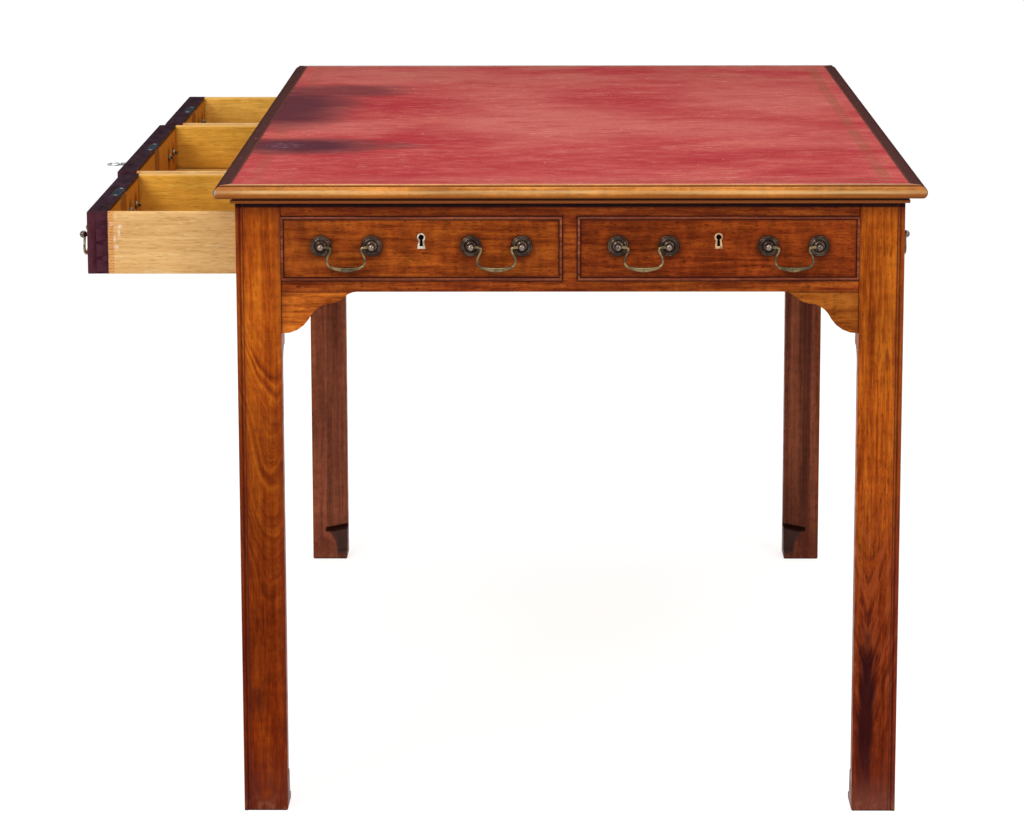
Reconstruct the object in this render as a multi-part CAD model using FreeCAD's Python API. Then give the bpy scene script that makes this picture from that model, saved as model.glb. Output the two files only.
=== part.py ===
"""Campaign desk with a leather-lined top, three working drawers and dummy fronts on its other sides.

Millimetres. X runs across the desk, Y along it from the near end to the far end, Z up from the floor.
The origin is on the floor at the centre of the legs' footprint. The drawers open towards -X.
Faces are drawn looking along +Y, with their outer face at y = 0, and are then turned to their side.
"""
import FreeCAD, Part
import math
import os

V = FreeCAD.Vector

# ---------------------------------------------------------------- driving dimensions: case and top
DESK_WIDTH = 788.0              # leg face to leg face, across
DESK_LENGTH = 1400.0            # leg face to leg face, along
DESK_HEIGHT = 765.0
TOP_THICKNESS = 23.0
TOP_OVERHANG = 23.5             # edge of the top beyond the legs
LEG_SIDE = 53.0
RAIL_SETBACK = 1.5              # rails stand back from the legs' faces
RAIL_HEIGHT = 106.0             # underside of the top to the lower edge of the rails
APRON_THICKNESS = 22.0
UPPER_RAIL_HEIGHT = 16.6        # wood above the drawer fronts
LOWER_RAIL_HEIGHT = 13.5        # wood below them
STILE_WIDTH = 18.0              # upright between two fronts
END_BAY_LENGTH = 363.5          # opening of the first and last drawer
OPEN_RAIL_DEPTH = 60.0          # how far the rails of the drawer side reach inwards
TENON_LENGTH = 28.0
TENON_THICKNESS = 8.0
TENON_SHOULDER = 12.0           # rail left above and below a tenon

# Edge of the top, measured outwards from the leather and down from the top surface
EDGE_WIDTH = 20.0
EDGE_FLAT = 13.5
EDGE_STEP = 1.8                 # sunk step between the flat and the nosing
NOSING_HEIGHT = 13.8
QUIRK_HEIGHT = 3.0              # groove under the nosing
QUIRK_SETBACK = 9.5             # its back, behind the nosing
FILLET_SETBACK = 8.0            # lowest member, behind the nosing
LEATHER_THICKNESS = 1.2

# Legs
CORNER_BEAD_RADIUS = 2.8
CORNER_QUIRK_DEPTH = 1.8
CORNER_QUIRK_EDGE = 7.6         # outer edge of the quirk, from the leg's corner
CHAMFER_LEG = 30.0              # width taken off each inner face
CHAMFER_GAP_TOP = 20.0          # square part left below the bracket
TONGUE_FOOT = 9.0               # square part left at the floor
TONGUE_HEIGHT = 42.0            # from the foot to the chamfer's lower end
TONGUE_DEPTH = 12.0             # depth along the diagonal behind the tongue
NOTCH_DEPTH = 2.0               # the notch over the tongue, deeper than the chamfer
FOOT_CHAMFER = 1.6

# Brackets
BRACKET_WIDTH = 89.5
BRACKET_DROP = 49.8
BRACKET_THICKNESS = 20.0

# Fronts and drawers
COCKBEAD_WIDTH = 3.2
COCKBEAD_PROUD = 1.8
COCKBEAD_REBATE = 8.0           # depth behind the front's face
COCKBEAD_ROUND = 0.7            # rise of the rounded nose
DRAWER_SIDE_CLEARANCE = 0.75
DRAWER_TOP_CLEARANCE = 0.9
DRAWER_RUN_CLEARANCE = 0.3
DRAWER_FRONT_THICKNESS = 22.0
DRAWER_LENGTH = 600.0           # outside of the front to outside of the back
DRAWER_SIDE_THICKNESS = 9.0
DRAWER_BACK_THICKNESS = 9.0
DRAWER_BACK_DROP = 8.0          # the back stops below the top of the sides
DRAWER_TOP_ROUND = 3.4
DRAWER_BOTTOM_THICKNESS = 6.0
DRAWER_BOTTOM_RISE = 7.0        # underside of the bottom above the sides' lower edge
BOTTOM_GROOVE_DEPTH = 4.0
PANEL_CLEARANCE = 0.1
DOVETAIL_LAP = 9.0              # solid wood left in front of the tails
DOVETAIL_SLOPE = 1.0 / 6.0
FRONT_TAILS = 4
FRONT_PIN = 3.0                 # thin end of a pin at the front
BACK_PINS = 3
BACK_PIN = 7.0                  # thin end of a pin at the back
NEAR_DRAWER_OPEN = 181.0        # how far each drawer stands open at rest
MIDDLE_DRAWER_OPEN = 187.5
FAR_DRAWER_OPEN = 181.0

# Runners, guides, kickers and stops
RUNNER_REACH = 7.0              # runner beyond the inside of a drawer side
GUIDE_HEIGHT = 24.0
STOP_HEIGHT = 5.0
STOP_DEPTH = 12.0
STOP_LENGTH = 25.0
STOP_INSET = 60.0
STOP_GAP = 0.3

# Pulls
PULL_SPACING = 60.0             # between the two posts of a pull
PULL_INSET = 47.6               # outer post from the edge of its front
PULL_DROP = 34.8                # post centres below the top of the fronts
BACKPLATE_RADIUS = 12.2
BACKPLATE_RIM = 1.5
BACKPLATE_CROWN = 5.0           # radius of the flat middle
BACKPLATE_THICKNESS = 4.4
BALL_RADIUS = 4.5
BALL_CENTRE = 12.0              # pivot in front of the face
NECK_RADIUS = 2.4
SHANK_RADIUS = 2.0
NUT_RADIUS = 5.0
NUT_THICKNESS = 3.0
SHANK_END = 3.5                 # threaded end past the nut
BAIL_RADIUS = 1.35              # its ends are its pins
GRIP_RADIUS = 2.4
GRIP_HALF = 13.5
BAIL_DROP = 26.4                # pivot to the grip's centre line
BAIL_KNEE = 17.0                # knee from the middle of the bail
BAIL_HIP = 22.5                 # widest point
BAIL_HIP_DROP = 14.5
BAIL_BEND = 6.5
PIN_CLEARANCE = 0.08
PIN_INSERTION = 2.9             # length of the pin inside the ball
PLATE_SIDES = 10
BALL_SIDES = 6
BAR_SIDES = 5
BEND_CHORDS = 2

# Escutcheons, locks and key
ESCUTCHEON_THICKNESS = 0.6
ESCUTCHEON_HEAD = 5.2
ESCUTCHEON_SKIRT = 5.5          # half width at the bottom
ESCUTCHEON_NECK = 3.7           # neck below the key's axis
ESCUTCHEON_BOTTOM = 13.8
KEY_DROP = 24.4                 # key's axis below the top of the fronts
KEYHOLE_RADIUS = 2.6
KEYHOLE_SLOT = 2.0
KEYHOLE_LENGTH = 8.0
SELVEDGE_LENGTH = 76.0
SELVEDGE_WIDTH = 12.0
LOCK_PLATE = 2.0
LOCK_WIDTH = 60.0
LOCK_HEIGHT = 38.0
CASE_WIDTH = 48.0
CASE_DEPTH = 8.5
CASE_WALL = 1.2
BOLT_WIDTH = 20.0
BOLT_THICKNESS = 3.0
BOLT_BODY_WIDTH = 32.0
BOLT_BODY_HEIGHT = 6.0
BOLT_BODY_TOP = 6.4             # bolt body below the selvedge, at rest
BOLT_SINK = 0.2                 # bolt's end below the selvedge's top at rest
BOLT_CLEARANCE = 0.15
BOLT_THROW = 6.0
MORTISE_CLEARANCE = 1.5
KEY_SHAFT_RADIUS = 2.1
KEY_INSIDE = 17.0               # end of the shaft behind the front's face
KEY_PROUD = 46.5
KEY_BOW_RADIUS = 10.0
KEY_BOW_BAR = 3.2
KEY_BOW_THICKNESS = 3.0
KEY_COLLAR_RADIUS = 3.4
KEY_COLLAR_LENGTH = 3.0
KEY_BIT_REACH = 7.0
KEY_BIT_LENGTH = 4.0
KEY_BIT_THICKNESS = 2.0
KEY_SIDES = 6
KEY_BOW_SIDES = 12

# Flats in a round stretch
ARC_CHORDS = 4
BEAD_CHORDS = 3
HOLE_CHORDS = 5

# ---------------------------------------------------------------- derived levels and planes
HALF_X = DESK_WIDTH / 2
HALF_Y = DESK_LENGTH / 2
TOP_UNDERSIDE = DESK_HEIGHT - TOP_THICKNESS
RAIL_BOTTOM = TOP_UNDERSIDE - RAIL_HEIGHT
FRONT_TOP = TOP_UNDERSIDE - UPPER_RAIL_HEIGHT
FRONT_BOTTOM = RAIL_BOTTOM + LOWER_RAIL_HEIGHT
FRONT_HEIGHT = FRONT_TOP - FRONT_BOTTOM
SPAN_X = DESK_WIDTH - 2 * LEG_SIDE
SPAN_Y = DESK_LENGTH - 2 * LEG_SIDE
RAIL_FACE_X = HALF_X - RAIL_SETBACK
RAIL_FACE_Y = HALF_Y - RAIL_SETBACK
END_FRONT_WIDTH = (SPAN_X - STILE_WIDTH) / 2
MIDDLE_BAY_LENGTH = SPAN_Y - 2 * END_BAY_LENGTH - 2 * STILE_WIDTH
STILE_Y = MIDDLE_BAY_LENGTH / 2 + STILE_WIDTH / 2
END_BAY_Y = SPAN_Y / 2 - END_BAY_LENGTH / 2
PULL_Z = FRONT_TOP - PULL_DROP
KEY_Z = FRONT_TOP - KEY_DROP
DRAWER_LOW = FRONT_BOTTOM + DRAWER_RUN_CLEARANCE
DRAWER_HIGH = FRONT_TOP - DRAWER_TOP_CLEARANCE
BOTTOM_LOW = DRAWER_LOW + DRAWER_BOTTOM_RISE
BOTTOM_HIGH = BOTTOM_LOW + DRAWER_BOTTOM_THICKNESS
CHAMFER_DEPTH = CHAMFER_LEG / math.sqrt(2)
SHANK_LENGTH = DRAWER_FRONT_THICKNESS + NUT_THICKNESS + SHANK_END
LEATHER_HALF_X = HALF_X + TOP_OVERHANG - EDGE_WIDTH
LEATHER_HALF_Y = HALF_Y + TOP_OVERHANG - EDGE_WIDTH

# How far each side's faces are turned from the near end's
TURN = {"near": 0, "right": 90, "far": 180, "left": -90}
FACE = {"near": RAIL_FACE_Y, "right": RAIL_FACE_X, "far": RAIL_FACE_Y, "left": RAIL_FACE_X}
END_BAYS = [(-(END_FRONT_WIDTH + STILE_WIDTH) / 2, END_FRONT_WIDTH),
            ((END_FRONT_WIDTH + STILE_WIDTH) / 2, END_FRONT_WIDTH)]
SIDE_BAYS = [(-END_BAY_Y, END_BAY_LENGTH), (0.0, MIDDLE_BAY_LENGTH), (END_BAY_Y, END_BAY_LENGTH)]
DUMMY_BAYS = {"near": END_BAYS, "far": END_BAYS, "right": SIDE_BAYS}
# Seen from its own side, the drawer side's first bay is the far one, because it faces -X
DRAWERS = {"near": (END_BAY_Y, END_BAY_LENGTH, NEAR_DRAWER_OPEN),
           "middle": (0.0, MIDDLE_BAY_LENGTH, MIDDLE_DRAWER_OPEN),
           "far": (-END_BAY_Y, END_BAY_LENGTH, FAR_DRAWER_OPEN)}


# ---------------------------------------------------------------- helpers
def block(x0, x1, y0, y1, z0, z1):
    """A rectangular block between two corners."""
    return Part.makeBox(x1 - x0, y1 - y0, z1 - z0, V(x0, y0, z0))


def face_of(steps, to_space):
    """A flat face. A step is a corner (a, b), or ((a, b), (c, d)): an arc through the first to the second."""
    points = [to_space(*steps[0])]
    for step in steps[1:]:
        if isinstance(step[0], tuple):
            via, end = step
            arc = Part.Arc(points[-1], to_space(*via), to_space(*end)).toShape()
            points += arc.discretize(ARC_CHORDS + 1)[1:]
        else:
            points.append(to_space(*step))
    return Part.Face(Part.makePolygon(points + points[:1]))


def in_yz(a, b):
    return V(0, a, b)


def in_xz(a, b):
    return V(a, 0, b)


def in_xy(a, b):
    return V(a, b, 0)


def turned_about(shape, axis, degrees):
    """A copy turned about an axis through the origin."""
    copy = shape.copy()
    copy.rotate(V(0, 0, 0), axis, degrees)
    return copy


def moved(shape, x=0.0, y=0.0, z=0.0):
    copy = shape.copy()
    copy.translate(V(x, y, z))
    return copy


def on_side(shape, side, along=0.0, out=0.0):
    """A piece drawn for the near end, slid along its side, moved out from the rail's face and turned."""
    placed = moved(shape, along, -FACE[side] - out, 0.0)
    return turned_about(placed, V(0, 0, 1), TURN[side])


def rounded(centre, radius, first, last, chords):
    """Points along an arc, from one angle in degrees to another."""
    angles = [math.radians(first + (last - first) * n / chords) for n in range(chords + 1)]
    return [(centre[0] + radius * math.cos(angle), centre[1] + radius * math.sin(angle)) for angle in angles]


def ring(sides, radius, middle, across, up):
    """A regular polygon of points about a middle, with a flat towards one of its two directions."""
    turns = [math.pi * (2 * n + 1) / sides for n in range(sides)]
    return [middle + across * (radius * math.cos(turn)) + up * (radius * math.sin(turn)) for turn in turns]


def skinned(rings):
    """A solid with flat faces through rings of as many points each."""
    faces = [Part.Face(Part.makePolygon(end + end[:1])) for end in (rings[0], rings[-1])]
    for low, high in zip(rings, rings[1:]):
        for n in range(len(low)):
            corners = [low[n - 1], low[n], high[n], high[n - 1]]
            faces.append(Part.Face(Part.makePolygon(corners + corners[:1])))
    solid = Part.Solid(Part.Shell(faces))
    if solid.Volume < 0:
        solid.reverse()
    return solid.removeSplitter()


def turning(profile, sides):
    """A turned piece along +Z with flats instead of round walls, from (radius, height) pairs."""
    return skinned([ring(sides, radius, V(0, 0, height), V(1, 0, 0), V(0, 1, 0)) for radius, height in profile])


def bar(path, radii, sides):
    """A bar along points in the XZ plane, mitred where it bends."""
    rings = []
    for here, before, after, radius in zip(path, path[:1] + path, path[1:] + path[-1:], radii):
        ahead = after - here if after != here else here - before
        behind = here - before if before != here else ahead
        ahead.normalize()
        behind.normalize()
        level = (ahead + behind).normalize()
        mitre = level.cross(V(0, 1, 0)) / level.dot(ahead)
        rings.append(ring(sides, radius, here, mitre, V(0, 1, 0)))
    return skinned(rings)


def facing_out(shape):
    """Turn what stands along +Z so that it stands out of a face, along -Y."""
    return turned_about(shape, V(1, 0, 0), 90)


def mitred_strip(section, length, width):
    """A strip along X. Its section is in (across, up), its outer edge lies at y = 0, its ends are mitred."""
    strip = face_of(section, in_yz).extrude(V(length, 0, 0))
    strip = moved(strip, -length / 2)
    box = strip.BoundBox
    plan = [(-length / 2, 0.0), (length / 2, 0.0), (length / 2 - width, width), (-length / 2 + width, width)]
    prism = face_of(plan, in_xy).extrude(V(0, 0, box.ZLength + 2))
    return strip.common(moved(prism, 0, 0, box.ZMin - 1))


def all_of(shapes):
    return Part.makeCompound(list(shapes))


def joined(shapes):
    return shapes[0].fuse(list(shapes[1:])).removeSplitter()


# ---------------------------------------------------------------- top
def edge_section():
    """The moulded edge: flat, sunk step, nosing, groove and fillet. Across grows inwards from the nosing."""
    top = DESK_HEIGHT
    nose_top = top - EDGE_STEP
    nose_low = nose_top - NOSING_HEIGHT
    nose_mid = (nose_top + nose_low) / 2
    quirk_low = nose_low - QUIRK_HEIGHT
    step = EDGE_WIDTH - EDGE_FLAT
    brow = step - 0.6
    return [
        (EDGE_WIDTH, TOP_UNDERSIDE),
        (EDGE_WIDTH, top),
        (step, top),
        (brow, nose_top),
        ((brow * 0.27, nose_top - 2.4), (0.0, nose_mid)),
        ((brow * 0.16, nose_low + 2.6), (brow * 0.55, nose_low)),
        (QUIRK_SETBACK, nose_low),
        (QUIRK_SETBACK, quirk_low),
        (FILLET_SETBACK, quirk_low),
        (FILLET_SETBACK, TOP_UNDERSIDE),
    ]


def top_edge_moulding():
    ends = mitred_strip(edge_section(), DESK_WIDTH + 2 * TOP_OVERHANG, EDGE_WIDTH)
    sides = mitred_strip(edge_section(), DESK_LENGTH + 2 * TOP_OVERHANG, EDGE_WIDTH)
    pieces = []
    for side in TURN:
        strip, reach = (ends, HALF_Y) if side in ("near", "far") else (sides, HALF_X)
        pieces.append(turned_about(moved(strip, 0, -reach - TOP_OVERHANG), V(0, 0, 1), TURN[side]))
    return all_of(pieces)


def top_board():
    return block(-LEATHER_HALF_X, LEATHER_HALF_X, -LEATHER_HALF_Y, LEATHER_HALF_Y,
                 TOP_UNDERSIDE, DESK_HEIGHT - LEATHER_THICKNESS)


def leather_skiver():
    return block(-LEATHER_HALF_X, LEATHER_HALF_X, -LEATHER_HALF_Y, LEATHER_HALF_Y,
                 DESK_HEIGHT - LEATHER_THICKNESS, DESK_HEIGHT)


# ---------------------------------------------------------------- legs
def leg_section():
    """Square, with a bead and two quirks worked on the outer corner, which is at the origin."""
    bead = CORNER_BEAD_RADIUS
    past = math.degrees(math.asin((bead - CORNER_QUIRK_DEPTH) / bead))
    return [
        (LEG_SIDE, 0.0),
        (LEG_SIDE, LEG_SIDE),
        (0.0, LEG_SIDE),
        (0.0, CORNER_QUIRK_EDGE),
        *rounded((bead, bead), bead, 90 + past, 360 - past, ARC_CHORDS),
        (CORNER_QUIRK_EDGE, 0.0),
    ]


def chamfer_cutter():
    """What the stopped chamfer takes away, with a tongue and a notch at its foot, in the leg's diagonal plane."""
    notch = TONGUE_FOOT + TONGUE_HEIGHT
    top = RAIL_BOTTOM - BRACKET_DROP - CHAMFER_GAP_TOP
    past = -3.0
    profile = [
        (past, TONGUE_FOOT),
        (0.0, TONGUE_FOOT),
        (TONGUE_DEPTH * 0.8, TONGUE_FOOT + 4.0),
        ((TONGUE_DEPTH * 0.86, notch - 28.0), (TONGUE_DEPTH, notch - 15.0)),
        ((TONGUE_DEPTH * 1.12, notch - 9.0), (TONGUE_DEPTH * 1.5, notch - 5.5)),
        (CHAMFER_DEPTH + NOTCH_DEPTH, notch - 4.0),
        (CHAMFER_DEPTH, notch),
        (CHAMFER_DEPTH, top - 20.0),
        ((CHAMFER_DEPTH * 0.8, top - 7.0), (0.0, top)),
        (past, top),
    ]
    cutter = face_of(profile, in_xz).extrude(V(0, 2 * LEG_SIDE, 0))
    cutter = moved(cutter, 0, -LEG_SIDE)
    return moved(turned_about(cutter, V(0, 0, 1), 225), LEG_SIDE, LEG_SIDE)


def leg():
    """One leg with its outer corner at the origin and its inner corner towards +X and +Y."""
    post = face_of(leg_section(), in_xy).extrude(V(0, 0, TOP_UNDERSIDE))
    arrises = [edge for edge in post.Edges
               if edge.BoundBox.ZMax < 0.01 and edge.Length > LEG_SIDE / 2]
    post = post.makeChamfer(FOOT_CHAMFER, arrises)
    return post.cut(chamfer_cutter())


def legs(rails):
    """The four legs, with mortises for the rails' tenons."""
    post = leg()
    corners = {"leg_near_left": (0, -HALF_X, -HALF_Y), "leg_near_right": (90, HALF_X, -HALF_Y),
               "leg_far_right": (180, HALF_X, HALF_Y), "leg_far_left": (270, -HALF_X, HALF_Y)}
    return {name: moved(turned_about(post, V(0, 0, 1), turn), x, y).cut(rails)
            for name, (turn, x, y) in corners.items()}


# ---------------------------------------------------------------- rails and aprons
def tenons(span, y_mid, z0, z1, length=TENON_LENGTH):
    """A tenon at each end of a rail."""
    half = TENON_THICKNESS / 2
    return [block(-span / 2 - length, -span / 2, y_mid - half, y_mid + half, z0, z1),
            block(span / 2, span / 2 + length, y_mid - half, y_mid + half, z0, z1)]


def apron(side):
    """One board with a recess for each dummy front and its beads."""
    span = SPAN_X if side in ("near", "far") else SPAN_Y
    board = block(-span / 2, span / 2, 0, APRON_THICKNESS, RAIL_BOTTOM, TOP_UNDERSIDE)
    for centre, width in DUMMY_BAYS[side]:
        board = board.cut(block(centre - width / 2, centre + width / 2, -1, COCKBEAD_REBATE,
                                FRONT_BOTTOM, FRONT_TOP))
    board = joined([board] + tenons(span, APRON_THICKNESS / 2, RAIL_BOTTOM + TENON_SHOULDER,
                                    TOP_UNDERSIDE - TENON_SHOULDER))
    return on_side(board, side)


def rail_above_drawers():
    """Top rail of the drawer side, with a mortise for each lock's bolt."""
    rail = block(-SPAN_Y / 2, SPAN_Y / 2, 0, OPEN_RAIL_DEPTH, FRONT_TOP, TOP_UNDERSIDE)
    bolt_y = DRAWER_FRONT_THICKNESS - SELVEDGE_WIDTH / 2
    reach = BOLT_WIDTH / 2 + MORTISE_CLEARANCE
    deep = BOLT_THICKNESS / 2 + MORTISE_CLEARANCE
    for centre, _ in SIDE_BAYS:
        rail = rail.cut(block(centre - reach, centre + reach, bolt_y - deep, bolt_y + deep,
                              FRONT_TOP - 1, FRONT_TOP + BOLT_THROW + MORTISE_CLEARANCE))
    middle = (FRONT_TOP + TOP_UNDERSIDE) / 2
    ends = open_rail_tenons(middle)
    return on_side(joined([rail] + ends), "left")


def rail_below_drawers():
    rail = block(-SPAN_Y / 2, SPAN_Y / 2, 0, OPEN_RAIL_DEPTH, RAIL_BOTTOM, FRONT_BOTTOM)
    ends = open_rail_tenons((RAIL_BOTTOM + FRONT_BOTTOM) / 2)
    return on_side(joined([rail] + ends), "left")


def open_rail_tenons(z_mid):
    """Flat tenons for the shallow rails of the drawer side."""
    half = TENON_THICKNESS / 2
    length = TENON_LENGTH / 2
    inner = LEG_SIDE - RAIL_SETBACK - TENON_SHOULDER
    return [block(-SPAN_Y / 2 - length, -SPAN_Y / 2, TENON_SHOULDER, inner, z_mid - half, z_mid + half),
            block(SPAN_Y / 2, SPAN_Y / 2 + length, TENON_SHOULDER, inner, z_mid - half, z_mid + half)]


def drawer_dividers():
    upright = block(-STILE_WIDTH / 2, STILE_WIDTH / 2, 0, OPEN_RAIL_DEPTH, FRONT_BOTTOM, FRONT_TOP)
    return all_of(on_side(upright, "left", along) for along in (-STILE_Y, STILE_Y))


def bracket():
    """A cusped bracket: a full lobe at the leg, a hollow, a small lobe and a second hollow."""
    w = BRACKET_WIDTH
    d = BRACKET_DROP
    profile = [
        (0.0, 0.0),
        (0.0, -d),
        ((0.223 * w, -0.902 * d), (0.363 * w, -0.655 * d)),
        ((0.445 * w, -0.442 * d), (0.590 * w, -0.293 * d)),
        ((0.724 * w, -0.253 * d), (0.832 * w, -0.129 * d)),
        ((0.903 * w, -0.040 * d), (w, 0.0)),
    ]
    return face_of(profile, in_xz).extrude(V(0, BRACKET_THICKNESS, 0))


def leg_brackets():
    """Two brackets under each side's rail, against the legs."""
    left = moved(bracket(), 0, 0, RAIL_BOTTOM)
    right = left.mirror(V(0, 0, 0), V(1, 0, 0))
    pieces = []
    for side in TURN:
        half = (SPAN_X if side in ("near", "far") else SPAN_Y) / 2
        pieces.append(on_side(left, side, -half))
        pieces.append(on_side(right, side, half))
    return all_of(pieces)


# ---------------------------------------------------------------- fronts and beads
def cockbeads(width, height):
    """Four mitred strips round a front, centred on x = 0, with their lower edge at z = 0."""
    wide = COCKBEAD_WIDTH
    nose = (wide ** 2 / 4 + COCKBEAD_ROUND ** 2) / (2 * COCKBEAD_ROUND)
    spread = math.degrees(math.asin(wide / 2 / nose))
    arc = rounded((wide / 2, COCKBEAD_PROUD - nose), nose, 90 + spread, 90 - spread, BEAD_CHORDS)
    section = [(0.0, -COCKBEAD_REBATE), *arc, (wide, -COCKBEAD_REBATE)]
    rail = facing_out(mitred_strip(section, width, wide))
    stile = facing_out(mitred_strip(section, height, wide))
    axis = V(0, 1, 0)
    return [rail,
            moved(turned_about(rail, axis, 180), 0, 0, height),
            moved(turned_about(stile, axis, 90), -width / 2, 0, height / 2),
            moved(turned_about(stile, axis, -90), width / 2, 0, height / 2)]


def dummy_fronts():
    pieces = []
    for side, bays in DUMMY_BAYS.items():
        for centre, width in bays:
            half = width / 2 - COCKBEAD_WIDTH
            panel = block(-half, half, 0, COCKBEAD_REBATE, FRONT_BOTTOM + COCKBEAD_WIDTH,
                          FRONT_TOP - COCKBEAD_WIDTH)
            pieces.append(on_side(panel, side, centre))
    return all_of(pieces)


def dummy_front_beads():
    pieces = []
    for side, bays in DUMMY_BAYS.items():
        for centre, width in bays:
            pieces += [on_side(moved(strip, 0, 0, FRONT_BOTTOM), side, centre)
                       for strip in cockbeads(width, FRONT_HEIGHT)]
    return all_of(pieces)


# ---------------------------------------------------------------- pulls
def backplate():
    """A ringed round plate on the face, with its middle at the origin."""
    profile = [(BACKPLATE_RADIUS, 0.0), (BACKPLATE_RADIUS, BACKPLATE_RIM),
               (BACKPLATE_CROWN, BACKPLATE_THICKNESS)]
    return facing_out(turning(profile, PLATE_SIDES))


def ball_flat():
    """From the middle of a ball to its flats."""
    return BALL_RADIUS * math.cos(math.pi / BALL_SIDES)


def pull_post(inward, shank=0.0):
    """A ball on a neck, bored for a bail's pin. Inward is +1 where the bail lies towards +X, else -1."""
    profile = [(NECK_RADIUS, BACKPLATE_THICKNESS),
               (NECK_RADIUS, BALL_CENTRE - BALL_RADIUS * 0.9),
               (BALL_RADIUS, BALL_CENTRE - BALL_RADIUS * 0.4),
               (BALL_RADIUS, BALL_CENTRE + BALL_RADIUS * 0.4),
               (BALL_RADIUS * 0.55, BALL_CENTRE + BALL_RADIUS)]
    if shank:
        profile = [(SHANK_RADIUS, -shank), (SHANK_RADIUS, BACKPLATE_THICKNESS)] + profile
    post = facing_out(turning(profile, BALL_SIDES))
    inradius = math.cos(math.pi / BAR_SIDES)
    depth = PIN_INSERTION + 2 * PIN_CLEARANCE
    bore = turning([((BAIL_RADIUS + PIN_CLEARANCE) / inradius, ball_flat() - depth),
                    ((BAIL_RADIUS + PIN_CLEARANCE) / inradius, ball_flat() + 1)], BAR_SIDES)
    bore = turned_about(bore, V(0, 1, 0), 90 * inward)
    return post.cut(moved(bore, 0, -BALL_CENTRE))


def nut():
    """The nut on a shank, against the inside of a drawer front."""
    inside = -DRAWER_FRONT_THICKNESS
    blank = turning([(NUT_RADIUS, inside - NUT_THICKNESS), (NUT_RADIUS, inside)], BAR_SIDES)
    return facing_out(blank.cut(shank_hole()))


def shank_hole():
    return turning([(SHANK_RADIUS, -SHANK_LENGTH - 1), (SHANK_RADIUS, BACKPLATE_THICKNESS)], BALL_SIDES)


def bail():
    """A swan-neck bail hanging from its pins, in the plane of the pivot, centred on x = 0."""
    pin = PULL_SPACING / 2 - ball_flat() + PIN_INSERTION
    bend = rounded((-BAIL_HIP + BAIL_BEND, -BAIL_DROP + BAIL_BEND), BAIL_BEND, 180, 270, BEND_CHORDS)
    half = [(-pin, 0.0), (-BAIL_KNEE, 0.0), (-BAIL_HIP, -BAIL_HIP_DROP), *bend, (-GRIP_HALF, -BAIL_DROP)]
    left = [V(x, -BALL_CENTRE, z) for x, z in half]
    right = [V(-x, -BALL_CENTRE, z) for x, z in reversed(half)]
    path = left + [V(0, -BALL_CENTRE, -BAIL_DROP)] + right
    radii = [BAIL_RADIUS] * len(left) + [GRIP_RADIUS] + [BAIL_RADIUS] * len(right)
    return bar(path, radii, BAR_SIDES)


def pull_centres(width):
    """The middles of a front's two pulls, from the front's own middle."""
    reach = width / 2 - PULL_INSET - PULL_SPACING / 2
    return (-reach, reach)


def post_places(width):
    """(x, inward) of a front's four posts."""
    return [(centre + side * PULL_SPACING / 2, -side) for centre in pull_centres(width) for side in (-1, 1)]


def fixed_pulls():
    """Backplates, posts and bails of the dummy fronts. The bails are named by side and counted along it."""
    plates = []
    posts = []
    bails = {}
    hanging = moved(bail(), 0, 0, PULL_Z)
    for side, bays in DUMMY_BAYS.items():
        count = 0
        for centre, width in bays:
            for x, inward in post_places(width):
                plates.append(on_side(moved(backplate(), x, 0, PULL_Z), side, centre))
                posts.append(on_side(moved(pull_post(inward), x, 0, PULL_Z), side, centre))
            for x in pull_centres(width):
                count += 1
                bails["bail_%s_%d" % (side, count)] = on_side(moved(hanging, x), side, centre)
    return all_of(plates), all_of(posts), bails


# ---------------------------------------------------------------- escutcheons, locks and key
def keyhole(radius, slot, length, depth):
    """The hole for a key, along +Y, with its round part on the origin."""
    half = slot / 2
    neck = math.degrees(math.asin(half / radius))
    head = rounded((0.0, 0.0), radius, 270 - neck, -90 + neck, HOLE_CHORDS)
    return face_of([*head, (half, -length), (-half, -length)], in_xz).extrude(V(0, depth, 0))


def escutcheon():
    """A keyhole-shaped plate laid on the face, with its keyhole through it."""
    neck = math.degrees(math.acos(ESCUTCHEON_NECK / ESCUTCHEON_HEAD))
    head = rounded((0.0, 0.0), ESCUTCHEON_HEAD, 270 - neck, -90 + neck, HOLE_CHORDS + 2)
    skirt = [(ESCUTCHEON_SKIRT, -ESCUTCHEON_BOTTOM), (-ESCUTCHEON_SKIRT, -ESCUTCHEON_BOTTOM)]
    plate = face_of([*head, *skirt], in_xz).extrude(V(0, ESCUTCHEON_THICKNESS, 0))
    hole = keyhole(KEYHOLE_RADIUS, KEYHOLE_SLOT, KEYHOLE_LENGTH, ESCUTCHEON_THICKNESS)
    return moved(plate.cut(hole), 0, -ESCUTCHEON_THICKNESS, KEY_Z)


def fixed_escutcheons():
    return all_of(on_side(escutcheon(), side, centre) for side, bays in DUMMY_BAYS.items() for centre, _ in bays)


def lock_blocks():
    """Selvedge, back plate and case of a drawer lock, as solid blocks that the front is let out for."""
    inner = DRAWER_FRONT_THICKNESS
    under = DRAWER_HIGH - LOCK_PLATE
    case_back = inner - LOCK_PLATE
    selvedge = block(-SELVEDGE_LENGTH / 2, SELVEDGE_LENGTH / 2, inner - SELVEDGE_WIDTH, inner, under, DRAWER_HIGH)
    plate = block(-LOCK_WIDTH / 2, LOCK_WIDTH / 2, case_back, inner, under - LOCK_HEIGHT, under)
    case = block(-CASE_WIDTH / 2, CASE_WIDTH / 2, case_back - CASE_DEPTH, case_back, under - LOCK_HEIGHT, under)
    return selvedge, plate, case


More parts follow.
